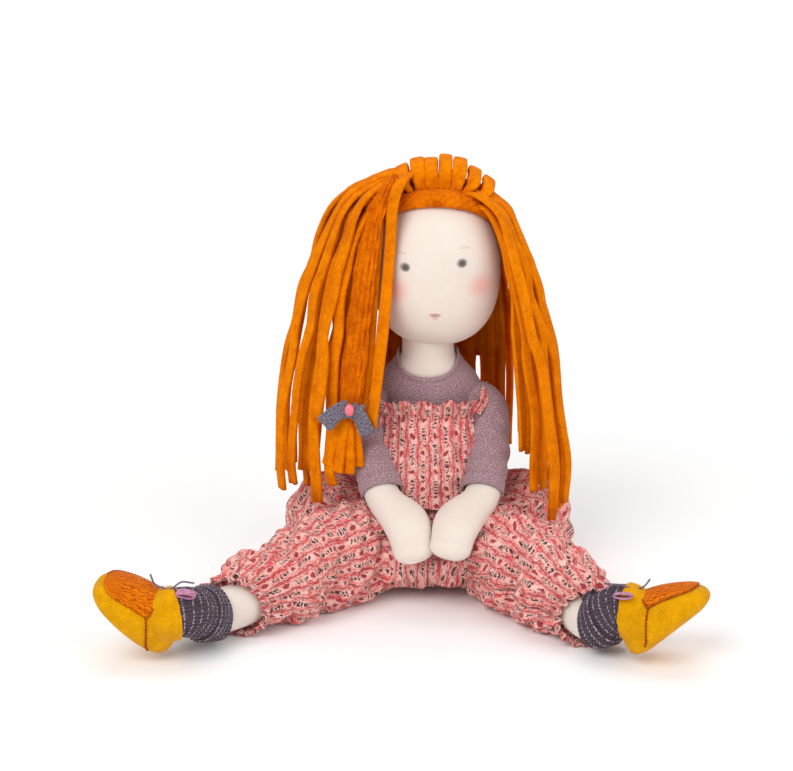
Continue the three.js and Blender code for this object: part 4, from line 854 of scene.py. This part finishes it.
# Socks: dark purple marl rib with a fine shiny thread
# They are knitted in ribs that run up the leg, and the top is folded down into a cuff.
# Rib knit: ridges 2.2 mm apart, with a broken pale metallic thread every few millimetres.
GLINT_ROWS = 3.4
sock_knit, sock_tree, sock_shader = dye("marl_rib_knit", 0.9, Sheen_Weight=0.25, Specular_IOR_Level=0.3)
sock_uv = add(sock_tree, "UVMap", {"uv_map": "UVMap"})
sock_fleck = spotted(sock_tree, 0.8, (1.0, 2.0, 1.0), sock_uv.outputs[0])
sock_tone = add(sock_tree, "ValToRGB", {}, {"Fac": sock_fleck})
shades(sock_tone, (0.35, "#281C26"), (0.72, "#63505F"))
row_axes = add(sock_tree, "SeparateXYZ", {}, {0: sock_uv.outputs[0]})
row = add(sock_tree, "Math", {"operation": "DIVIDE", 1: GLINT_ROWS}, {0: row_axes.outputs["Y"]})
row_part = add(sock_tree, "Math", {"operation": "FRACT"}, {0: row.outputs[0]})
thread = add(sock_tree, "Math", {"operation": "LESS_THAN", 1: 0.14}, {0: row_part.outputs[0]})
broken = spotted(sock_tree, 0.7, (1.0, 0.2, 1.0), sock_uv.outputs[0])
shows = add(sock_tree, "Math", {"operation": "GREATER_THAN", 1: 0.5}, {0: broken})
glint = add(sock_tree, "Math", {"operation": "MULTIPLY"}, {0: thread.outputs[0], 1: shows.outputs[0]})
sock_colour = add(sock_tree, "MixRGB", {"Color2": paint("#B9AEC2")},
                  {"Fac": glint.outputs[0], "Color1": sock_tone.outputs[0]})
coat(sock_tree, sock_shader, sock_colour.outputs[0], sock_fleck, 0.4, 0.0003)

RIBS = 42
for side in LEG:
    for kind, u0, u1, grow, wall, rows in (("sock", 9 / 15, 13 / 15, 1.5, 1.0, 50),
                                           ("sock_cuff", 0.585, 0.672, 3.3, 1.4, 26)):
        columns = RIBS * 8
        grid = limb(leg_route(side), (0, 0, 1), rows, columns, u0, u1, grow=grow)
        v = shares(rows)
        rib = 0.42 * np.cos(RIBS * turns(columns)) * np.minimum(1, 8 * v * (1 - v) + 0.2)
        edges = np.exp(-(v / 0.07) ** 2) + np.exp(-((1 - v) / 0.07) ** 2)
        rolled = -0.8 * edges if kind == "sock_cuff" else 0
        slack = creases(rows, columns, (1, 4), (2, 4), 61) * 0.25
        grid = raised(grid, rib + rolled + slack)
        knitted = cloth_piece(kind + "_" + side + "_rib", grid, sock_knit, "leg_" + side, wall=wall)
        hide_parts(kind + "_" + side)


# Slippers: soft moccasins of mustard felt with a stitched orange vamp
# The upper is two pieces sewn together at the sides, the sole is a flat felt oval, and the vamp is
# let in on top of the toes. The slipper's own frame runs from its heel to its toes.
def felt(name, dark, light, fuzz=0.0004, grain=700.0, sheen=0.08):
    """Pressed wool felt: no weave, only a matted fuzz with cloudy dye."""
    made, tree, shader = dye(name, 1.0, Sheen_Weight=sheen, Sheen_Roughness=0.5, Specular_IOR_Level=0.05)
    place = add(tree, "TexCoord", {}).outputs["Object"]
    cloud, fibre = (add(tree, "TexNoise", {"Scale": scale, "Detail": detail, "Roughness": rough},
                        {"Vector": place}).outputs[0]
                    for scale, detail, rough in ((110.0, 5.0, 0.65), (grain, 6.0, 0.7)))
    half_fibre = add(tree, "Math", {"operation": "MULTIPLY", 1: 0.5}, {0: fibre})
    mixed = add(tree, "Math", {"operation": "MULTIPLY_ADD", 1: 0.5}, {0: cloud, 2: half_fibre.outputs[0]})
    tone = add(tree, "ValToRGB", {}, {"Fac": mixed.outputs[0]})
    shades(tone, (0.34, dark), (0.64, light))
    coat(tree, shader, tone.outputs[0], fibre, 0.55, fuzz)
    return made


shoe_felt = felt("mustard_felt", "#C08200", "#E8A604")

SHOE_LENGTH, SHOE_WIDTH, SHOE_HEIGHT, TOE_HEIGHT, BELLY = 58.5, 37.5, 31, 21.5, 8


def slipper_point(share, turn, grow):
    """Point of the slipper: stations run by the cosine from heel to toe, each a broad oval that is
    flat below, and the top falls from the instep to the toes by a smooth step."""
    drop = np.clip((share - 0.3) / 0.55, 0, 1)
    tall = SHOE_HEIGHT + (TOE_HEIGHT - SHOE_HEIGHT) * drop**2 * (3 - 2 * drop)
    angle = np.pi * (0.03 + 0.94 * share)
    x = SHOE_LENGTH / 2 - (SHOE_LENGTH / 2 + grow) * np.cos(angle) * (1 / np.cos(np.pi * 0.03)) * 0.985
    full = np.sin(angle) ** 0.62
    width = SHOE_WIDTH / 2 * (0.8 + 0.2 * np.sin(share * 2.26 + 0.3)) * full + grow
    above = tall * full - BELLY + grow
    below = BELLY * np.minimum(1, full + 0.15) + grow
    rise = np.sin(turn)
    z = np.where(rise > 0, BELLY + rise * above, BELLY - np.abs(rise) ** 0.6 * below)
    return np.stack([x + 0 * turn, np.cos(turn) * width, z], -1)


# Vamp: orange felt covered with a wandering machine stitch.
vamp_felt = felt("orange_stitched_felt", "#C25A00", "#E67E04")
vamp_tree = vamp_felt.node_tree
vamp_shader = vamp_tree.nodes["Principled BSDF"]
vamp_uv = add(vamp_tree, "UVMap", {"uv_map": "UVMap"})
curly = add(vamp_tree, "TexNoise", {"Scale": 0.22, "Detail": 2.0}, {"Vector": vamp_uv.outputs[0]})
bent_uv = add(vamp_tree, "VectorMath", {"operation": "MULTIPLY_ADD", 1: (7.0, 7.0, 0.0)},
              {0: curly.outputs["Color"], 2: vamp_uv.outputs[0]})
line_axes = add(vamp_tree, "SeparateXYZ", {}, {0: bent_uv.outputs[0]})
# The real lines of stitching are 1.4 mm apart; at 2.1 mm they show in the render.
STITCH_LINES = 2.1
squiggle = add(vamp_tree, "Math", {"operation": "PINGPONG", 1: STITCH_LINES / 2}, {0: line_axes.outputs["X"]})
stitched = add(vamp_tree, "MapRange", {"From Min": 0.15, "From Max": 0.5, "To Min": 0.8, "To Max": 0.0},
               {"Value": squiggle.outputs[0]})
plain = vamp_shader.inputs["Base Color"].links[0].from_socket
vamp_colour = add(vamp_tree, "MixRGB", {"Color2": paint("#9A3A04")},
                  {"Fac": stitched.outputs[0], "Color1": plain})
vamp_tree.links.new(vamp_colour.outputs[0], vamp_shader.inputs["Base Color"])

# Lace and tab: a thin cotton thread knotted at the instep, and a loop of pink ribbon behind it.
thread_cotton = felt("purple_thread", "#4E4654", "#8C8096")
ribbon_satin = felt("pink_ribbon", "#8C4A72", "#E0A8C4")
seam_thread = felt("dark_orange_thread", "#7A3206", "#B85A0C")


def rope(name, route, radius, finish, body, steps=60, sides=10, twist=0.0):
    """Round thread along a spline; twist is the length in mm of its swellings, 0 for a plain thread."""
    line = spline(route, np.linspace(0, 1, steps))
    way = unit(np.gradient(line, axis=0))
    side_way = unit(np.cross(way, np.array([0.31, 0.22, 0.92])))
    top_way = np.cross(way, side_way)
    turn = turns(sides)
    run = np.concatenate([[0], np.cumsum(np.linalg.norm(np.diff(line, axis=0), axis=1))])
    swell = radius * (1 + 0.35 * np.sin(2 * np.pi * run / twist) if twist else 1 + 0 * run)[:, None, None]
    grid = (line[:, None] + side_way[:, None] * swell * np.cos(turn)[:, None]
            + top_way[:, None] * swell * np.sin(turn)[:, None])
    return cloth_piece(name, grid, finish, body, capped=(True, True))


# Share of the slipper's length at which its side seams reach the vamp, and share of the leg's way at
# which the collar has its rim.
SEAM_SHARE, COLLAR_RIM = 0.476, 0.80
LACE_AT = {"left": [[40, -3, 33], [34, -2, 30.5], [29, -1.6, 32.6], [26, -1, 36.5], [24.5, -3, 43],
                    [18.5, -5, 46.8]],
           "right": [[36, -2, 32], [31, -4, 31], [26, -6, 33], [22, -8, 39.5], [15, -11, 46.5]]}
TAB_AT = {"left": (19, 3, 43), "right": (20, -15.5, 35)}
for side in LEG:
    body = "leg_" + side
    share, turn = shares(60), turns(72)
    bean = on_slipper(side, slipper_point(share + 0 * turn, turn + 0 * share, 0.0))
    # The collar stands round the ankle; inside its rim the felt turns in, so that the lining is dark.
    route = leg_route(side)
    collar = limb(route, (0, 0, 1), 12, 56, COLLAR_RIM, 0.9, grow=3.6)
    upper = joined_cloth("slipper_" + side + "_upper", [bean, collar], 1.3, shoe_felt)
    finer = upper.modifiers.new("finer", "SUBSURF")
    finer.levels = finer.render_levels = 1
    settle(upper)
    mouth = spline([s[0] for s in route], np.array([COLLAR_RIM, COLLAR_RIM + 0.018]))
    inward = unit(mouth[1] - mouth[0])
    co = points_of(upper)
    deep = (co - mouth[0]) @ inward
    radius = np.linalg.norm(co - mouth[0] - deep[:, None] * inward, axis=1)
    sunk = smooth_step((14.6 - radius) / 0.8) * (deep < 1.6)
    co += inward * (6 * sunk)[:, None]
    co[:, 2] = np.maximum(co[:, 2], 0.1)
    set_points(upper, co)
    upper.data.shade_smooth()
    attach(upper, body)
    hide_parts("shoe_heel_" + side, "shoe_toe_" + side, "sole_" + side)

    # Vamp: a rounded tongue of the same surface, raised a little.
    along, wide = shares(40), np.linspace(-1, 1, 41)
    vamp_share = 0.47 + 0.43 * along + 0 * wide
    spread = np.sqrt(np.clip(1 - np.clip((along - 0.62) / 0.38, 0, 1) ** 2, 0, 1)) * 0.98
    vamp_turn = np.pi / 2 - wide * spread * 0.95
    grid = slipper_point(vamp_share, vamp_turn, 0.8)
    vamp = cloth_piece("vamp_" + side + "_stitched", on_slipper(side, grid), vamp_felt, body,
                       closed=False, wall=1.2)
    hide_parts("vamp_" + side)

    # Seams: dark stitches round the vamp, along its straight edge and down both sides.
    edge = np.concatenate([grid[:-1, 0], grid[-1, 2:-2:3], grid[::-1, -1][1:]])
    hand_turn = np.radians(np.linspace(-14, 38, 12))
    seam_share = np.linspace(SEAM_SHARE - 0.2, SEAM_SHARE, 12)
    side_seam = slipper_point(seam_share, hand_turn, 0.15)
    other_seam = slipper_point(seam_share, np.pi - hand_turn, 0.15)
    seams = ((edge, 0.5), (grid[0], 0.7), (side_seam, 0.6), (other_seam, 0.6))
    for number, (path, thick) in enumerate(seams):
        stitches = rope("stitches_" + side + str(number), on_slipper(side, path), thick, seam_thread, body,
                        len(path) * 6, 8, 2.0)

    lace = rope("lace_" + side + "_thread", on_slipper(side, LACE_AT[side]), 0.55, thread_cotton, body)
    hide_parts("lace_" + side)
    turn, across = turns(40), np.linspace(-2.6, 2.6, 8)[:, None]
    tab_grid = np.stack([4.6 * np.cos(turn) + 0 * across, across + 0 * turn,
                         2.3 * np.sin(turn) - 3.2 * np.cos(turn) + 0 * across], -1) + TAB_AT[side]
    tab = cloth_piece("tab_" + side + "_ribbon", on_slipper(side, tab_grid), ribbon_satin, body, wall=0.8)
    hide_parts("tab_" + side)


# Hair: strips of orange felt sewn to a felt cap
# The cap hugs the head down to the face and the nape, with a stitched hem. Strips 6 mm wide and
# 3 mm thick are sewn along the parting and round the crown and hang to the elbows, cut off square.
hair_felt = felt("orange_hair_felt", "#CA6000", "#F48C00", 0.0007, 560.0, 0.02)
cap_felt = felt("orange_cap_felt", "#CC5E00", "#F28400", 0.0008, 420.0, 0.02)

# The cap is a dome round an axis that leans back. Its edge is an angle from that axis, and its
# outside is a little off the head.
CAP_AXIS = np.array([0.0, 0.571, 0.821])
CAP_EDGE = math.radians(71)
CAP_OUTSIDE, CAP_WALL, CAP_RADIUS = 3.1, 2.7, 45
cap_side = np.array([1.0, 0.0, 0.0])
cap_front = np.cross(CAP_AXIS, cap_side)


def over_head(open_angle, turn, heights):
    """Grid on the cap, at angles from its axis and turns round it, raised by heights."""
    round_axis = cap_side * np.cos(turn)[..., None] + cap_front * np.sin(turn)[..., None]
    ball = CAP_AXIS * np.cos(open_angle)[..., None] + round_axis * np.sin(open_angle)[..., None]
    return ball * (HEAD_HALF + CAP_OUTSIDE) + HEAD + ball * heights[..., None]


rows, columns = 70, 160
open_angle = np.linspace(0.02, CAP_EDGE, rows)[:, None]
# The hem is stitched down 4.2 mm from the edge and swells between the stitches and the edge.
from_edge = (CAP_EDGE - open_angle) * CAP_RADIUS
hem_groove = -0.9 * np.exp(-((from_edge - 4.2) / 0.8) ** 2)
puff = 0.5 * np.exp(-((from_edge - 1.9) / 1.5) ** 2) + creases(rows, columns, (3, 12), (1, 3), 71) * 0.2
grid = over_head(open_angle, turns(columns), hem_groove + puff)
cap = cloth_piece("hair_cap_felt", grid, cap_felt, "head", capped=(True, False), wall=CAP_WALL)
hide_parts("hair_cap")

# How far the hair hangs from the middle of the head at each height: against the cheek, and at its
# widest on the right and on the left; and how much of that it takes in each direction.
HANG = np.array([(266, 6, 12, 24), (258, 14, 25, 44), (250, 25, 36, 56), (240, 34, 44, 64),
                 (222, 42, 52, 72), (205, 46.5, 58, 79), (190, 47, 63, 84), (167, 47, 69, 90),
                 (150, 47, 73, 94), (115, 47, 79, 100), (80, 47, 82, 103), (30, 47, 82, 102)])
VOLUME = np.array([(-60, 0.8), (-34, 0.95), (-10, 1), (20, 0.9), (52, 0.45), (90, 0.2), (128, 0.35),
                   (155, 0.8), (180, 1), (200, 0.85), (215, 0.45), (232, 0.28)])


def hair_reach(azimuth, height, volume):
    """Distance of a hanging strip from the middle of the head, at an azimuth and a height."""
    close, right, left = (np.interp(-height, -HANG[:, 0], HANG[:, i]) for i in (1, 2, 3))
    return close + (right + (left - right) * (1 - math.cos(azimuth)) / 2 - close) * volume


def round_head(azimuth, radius, height):
    return [HEAD[0] + radius * math.cos(azimuth), HEAD[1] + radius * math.sin(azimuth), height]


def over_cap(azimuth, tip, out):
    """Point at an azimuth and at an angle from straight up, a distance outside the cap."""
    a, b, c = HEAD_HALF + 3 + out
    return [HEAD[0] + a * math.sin(tip) * math.cos(azimuth), HEAD[1] + b * math.sin(tip) * math.sin(azimuth),
            HEAD[2] + c * math.cos(tip)]


dice = np.random.default_rng(8)


def rim_tip(azimuth):
    """Angle from straight up at which the cap ends, where its plane cuts the vertical plane of an
    azimuth."""
    lean = CAP_AXIS[1] * math.sin(azimuth)
    return math.acos(math.cos(CAP_EDGE) / math.hypot(lean, CAP_AXIS[2])) + math.atan2(lean, CAP_AXIS[2])


def hanging_route(degrees, tip_degrees, volume, end, rise=4.0, drift=0.0):
    """From its root on the cap, up off it, outwards and down to the strip's end, which drifts aside."""
    azimuth = math.radians(degrees)
    tip = min(math.radians(tip_degrees), rim_tip(azimuth) - 0.1)
    rise += 7 * volume * (1 - math.cos(azimuth)) / 2
    points = [over_cap(azimuth, tip - 0.03, 1.0), over_cap(azimuth, tip + 0.10, rise)]
    for height in HANG[:, 0]:
        radius = hair_reach(azimuth, height, volume)
        so_far = math.hypot(points[-1][0] - HEAD[0], points[-1][1] - HEAD[1])
        if end + 8 < height < points[-1][2] - 5 and radius > so_far + 1:
            aside = drift * (1 - (height - end) / (262 - end)) ** 2 + dice.uniform(-1.5, 1.5)
            points.append(round_head(azimuth + math.radians(aside), radius + dice.uniform(-1.8, 1.8), height))
    points.append(round_head(azimuth + math.radians(drift), hair_reach(azimuth, end, volume), end))
    return points


STRIP_WIDTH, STRIP_THICK = 6.4, 3.1


def felt_strip(route, outward_of, width=STRIP_WIDTH, thick=STRIP_THICK, rows=44, groove=0.0):
    """Grid of one strip: a rounded oblong section carried along a spline, its flat face outwards, with
    a slow twist and, on some, a crease along the middle."""
    line = spline(route, np.linspace(0, 1, rows))
    v = np.linspace(0, 1, rows)
    way = unit(np.gradient(line, axis=0))
    side_way = unit(np.cross(way, outward_of(line)))
    face_way = np.cross(side_way, way)
    twist = (dice.uniform(-0.3, 0.3) * np.sin(3 * v + dice.uniform(0, 6)) * v)[:, None]
    side_way, face_way = (side_way * np.cos(twist) + face_way * np.sin(twist),
                          face_way * np.cos(twist) - side_way * np.sin(twist))
    turn = turns(16)
    wide, deep = width / 2 * rounded(np.cos(turn), 0.55), thick / 2 * rounded(np.sin(turn), 0.55)
    deep -= groove * np.exp(-((wide / width) * 7) ** 2) * (np.sin(turn) > 0)
    swell = 1 + 0.05 * np.sin(v * dice.uniform(6, 14) + dice.uniform(0, 6))[:, None]
    return (line[:, None] + side_way[:, None] * (wide * swell)[..., None]
            + face_way[:, None] * (deep * swell)[..., None])


def facing(to_front):
    """Direction that a strip's flat face has: away from the head, turned to the front by a share."""
    def outward_of(line):
        away = np.stack([line[:, 0] - HEAD[0], line[:, 1] - HEAD[1], np.maximum(line[:, 2] - HEAD[2], 0)], -1)
        below = smooth_step((240 - line[:, 2]) / 40)[:, None]
        return unit(unit(away) + np.array([0, -to_front, 0]) * below)
    return outward_of


# Each lock: azimuths where it hangs, angles of its roots from straight up, turn of its strips' faces
# to the front, and the heights where its strips end. Its strips lie in three layers.
LOCKS = (
    ("hair_right_front", -34, -3.4, (32, 58), 0.8, (54, 66, 90, 48, 70, 84, 52, 62, 96, 44)),
    ("hair_right_side", -3.4, 27.2, (30, 52), 0.6, (46, 76, 86, 56, 66, 92, 50, 72, 88, 60)),
    ("hair_right_back", 27.2, 57.8, (28, 44), 0.2, (80, 86, 90, 70, 84, 92, 78, 88)),
    ("hair_back_right", 57.8, 88.4, (26, 42), 0, (88, 96, 90, 84, 92, 96, 86, 90)),
    ("hair_back_left", 88.4, 119, (26, 42), 0, (86, 94, 90, 84, 90, 94, 88, 92)),
    ("hair_left_back", 119, 149.6, (28, 44), 0.2, (84, 76, 90, 88, 80, 86, 82, 78)),
    ("hair_left_side", 149.6, 180, (26, 44), 0.6, (72, 76, 84, 66, 80, 90, 64, 74, 86, 118, 70)),
    ("hair_left_front", 180, 212, (18, 38), 0.8, (68, 60, 78, 62, 74, 86, 66, 58, 80, 112, 70, 92)),
)
LAYERS = (1.0, 0.7, 0.4)
for name, start_at, stop_at, tips, to_front, ends in LOCKS:
    strips = []
    for i, end in enumerate(ends):
        share = (i + 0.5) / len(ends)
        degrees = start_at + share * (stop_at - start_at) + dice.uniform(-1, 1)
        layer_share = LAYERS[i % 3]
        volume = np.interp(degrees, VOLUME[:, 0], VOLUME[:, 1]) * layer_share * dice.uniform(0.93, 1.05)
        tip = tips[1] + (tips[0] - tips[1]) * (layer_share - 0.4) / 0.6 + dice.uniform(-4, 4)
        route = hanging_route(degrees, tip, volume, end, 2 + 3.5 * layer_share, dice.uniform(-6, 6))
        strips.append(felt_strip(route, facing(to_front), STRIP_WIDTH * dice.uniform(0.88, 1.12),
                                 groove=0.8 * dice.integers(0, 2)))
    hair = merged(name + "_strips", strips, hair_felt)
    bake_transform(hair)
    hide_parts(name)

# Face strips: one hangs from the parting along the left edge of the face, the other just behind it.
face_routes = ([[-9, -8, 262], [-15, -18, 260], [-20.5, -27, 249], [-22.8, -32, 221], [-26, -36, 185],
                [-28, -37, 166], [-35, -38, 108.5]],
               [[-13, -4, 261], [-22, -13, 258], [-28, -21, 245], [-31, -26, 220], [-34, -30, 185],
                [-37, -31, 150], [-42, -30, 112]])
face_strips = [felt_strip(route, facing(0.8), 7.4) for route in face_routes]
face_strip = merged("hair_face_strips", face_strips, hair_felt)
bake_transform(face_strip)
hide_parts("hair_face")

# Crown: strips side by side, sewn behind the hairline, rise and fall back over the head. Each has its
# place across the head and the height of its top.
ROOT_FORWARD = 13
strips = []
for x, top in ((-17, 267), (-10, 270), (-2.8, 271.5), (4.5, 271.5), (12, 269.5), (19.5, 265.5), (27, 259)):
    x, top = x + dice.uniform(-0.6, 0.6), top - dice.uniform(0, 3)
    root_tip = math.atan2(math.hypot(x, ROOT_FORWARD), 46)
    root = over_cap(math.atan2(-ROOT_FORWARD, x), root_tip, 0.0)
    lean = x * 0.12
    rest = [[x * 1.02 + lean, -11, top - 5.5], [x * 1.06 + lean, 0, top - 1.2], [x * 1.1 + lean, 22, top - 7]]
    for wider, reach, height in ((1.15, 43, 240), (1.35, 53, 205), (1.5, 56, 160), (1.55, 56, 112 + x)):
        rest.append([x * wider, math.sqrt(reach ** 2 - (x * wider) ** 2), height])
    route = [root] + [[HEAD[0] + px, HEAD[1] + py, pz] for px, py, pz in rest]
    strips.append(felt_strip(route, facing(0.0), 8.3 + dice.uniform(-0.4, 0.6), 4.4, rows=64))
crown = merged("hair_crown_strips", strips, hair_felt)
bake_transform(crown)
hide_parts("hair_crown")

# Hairline roll: teased fibres sewn down along the front edge of the cap, from temple to temple.
teased = felt("teased_orange_felt", "#B84C00", "#EE7E00", 0.0016, 380.0, 0.02)
rows, columns = 150, 48
turn = np.radians(np.linspace(-176, -6, rows))[:, None]
section = turns(columns)
taper = np.sqrt(np.sin(np.linspace(0.12, np.pi - 0.12, rows)))[:, None]
open_angle = CAP_EDGE - 0.13 + 0.15 * taper * np.cos(section)
fibres = creases(rows, columns, (2, 9), (9, 22), 91) * 0.5
grid = over_head(open_angle, turn, 3.8 * taper * np.sin(section) + fibres)
roll = cloth_piece("hairline_roll_teased", grid, teased, "head", capped=(True, True))
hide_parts("hair_cap")

# Tied lock: a bundle of teased felt fibres, drawn in by a jersey strip with a bead
TIE = np.array([-48.0, -32.0, 121.0])
bundle = [([-14, -6, 257], 3, 1.6), ([-24, -16, 256], 5.5, 3), ([-32, -23, 240], 7.5, 4),
          ([-37, -27, 215], 8.6, 4.6), ([-41, -30, 185], 9.2, 5), ([-45, -32, 152], 9.6, 5.4),
          (TIE.tolist(), 6.6, 6.6), ((TIE - [0, 0, 9]).tolist(), 8.6, 6.4)]
BUNDLE_UP = (-0.81, -0.59, 0)
grid = limb(bundle, BUNDLE_UP, 141, 132, end=5)
rows, columns = grid.shape[:2]
v, turn = shares(rows), turns(columns)
strand = np.cos(11 * turn + 3 * np.sin(4 * v)) * 0.6 + np.cos(23 * turn - 9 * v) * 0.3
grid = raised(grid, strand + creases(rows, columns, (3, 16), (6, 16), 81) * 0.45)
tied = cloth_piece("hair_tied_bundle", grid, teased, None, capped=(True, True))
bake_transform(tied)
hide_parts("hair_tied")

# Below the tie its strips hang free and fan out.
fan = []
for end_x, end_y, end_z, width in ((-15, -3, -37, 7), (-8, -6, -41, 7.6), (-1, -6, -42, 7.2),
                                   (5, -4, -38, 7)):
    fan_route = TIE + np.array([[end_x * 0.15, end_y * 0.3, -3], [end_x * 0.55, end_y * 0.8, -13],
                                [end_x, end_y, end_z]])
    fan.append(felt_strip(fan_route, facing(0.8), width, 3.4))
fan_piece = merged("hair_tied_ends", fan, hair_felt)
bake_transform(fan_piece)
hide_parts("hair_tied")

# Tie: a ring of jersey round the lock, a bow of two ends before it, and a wooden bead on the knot.
turn, roll_turn = turns(60), turns(14)[:, None]
radius = 8.4 + 1.1 * np.cos(roll_turn)
grid = np.stack([radius * np.cos(turn), radius * np.sin(turn), 2.2 * np.sin(roll_turn) + 0 * turn], -1) + TIE
band = cloth_piece("tie_band_jersey", np.concatenate([grid, grid[:1]]), marl, None)
# Y of the bow from the middle of the lock; the bead lies before it.
bow_front = -10.55
bow_ends = []
for end_x, end_z, end_width in ((-16, -9, 11), (11, -15, 9.5)):
    bow_route = TIE + np.array([[0, bow_front, 2], [end_x * 0.5, bow_front - 1.2, 2 + end_z * 0.3],
                                [end_x, bow_front + 1, end_z]])
    bow_ends.append(felt_strip(bow_route, lambda line: np.tile([[0.0, -1.0, 0.0]], (len(line), 1)),
                               end_width, 1.8))
dark_marl = marl.copy()
dark_marl.name = "dark_marl_jersey"
dark_ramp = dark_marl.node_tree.nodes["Color Ramp"].color_ramp
for element, code in zip(dark_ramp.elements, ("#3E3844", "#6E6876", "#A9A3AE")):
    element.color = paint(code)
bow = merged("tie_bow_jersey", bow_ends, dark_marl)
bead_wood = dye("painted_wood_bead", 0.35, Base_Color=paint("#EE6F80"), Coat_Weight=0.4)[0]
bead_grid = oval(TIE + [0, bow_front - 4.3, 2], [3, 3, 3.9], 20, 28)
bead_piece = cloth_piece("tie_bead_round", bead_grid, bead_wood, None, capped=(True, True))
for piece, node, name in ((band, "tie_band", "tie"), (bow, "tie_bow", "tie"),
                          (bead_piece, "tie_bead", "bead")):
    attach(piece, "head")
    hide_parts(node)

# Inside: torso skin, pellets and fibre, hidden by the clothes
# They keep their CAD shapes and get the cloth that they are made of.
fibre = felt("white_fibre", "#E4E0D8", "#FBF9F5")
for node, finish in (("torso_skin", skin), ("pellet_bag", fibre), ("torso_filling", fibre),
                     ("head_filling", fibre)):
    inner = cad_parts[node]
    inner.data.materials.clear()
    inner.data.materials.append(finish)
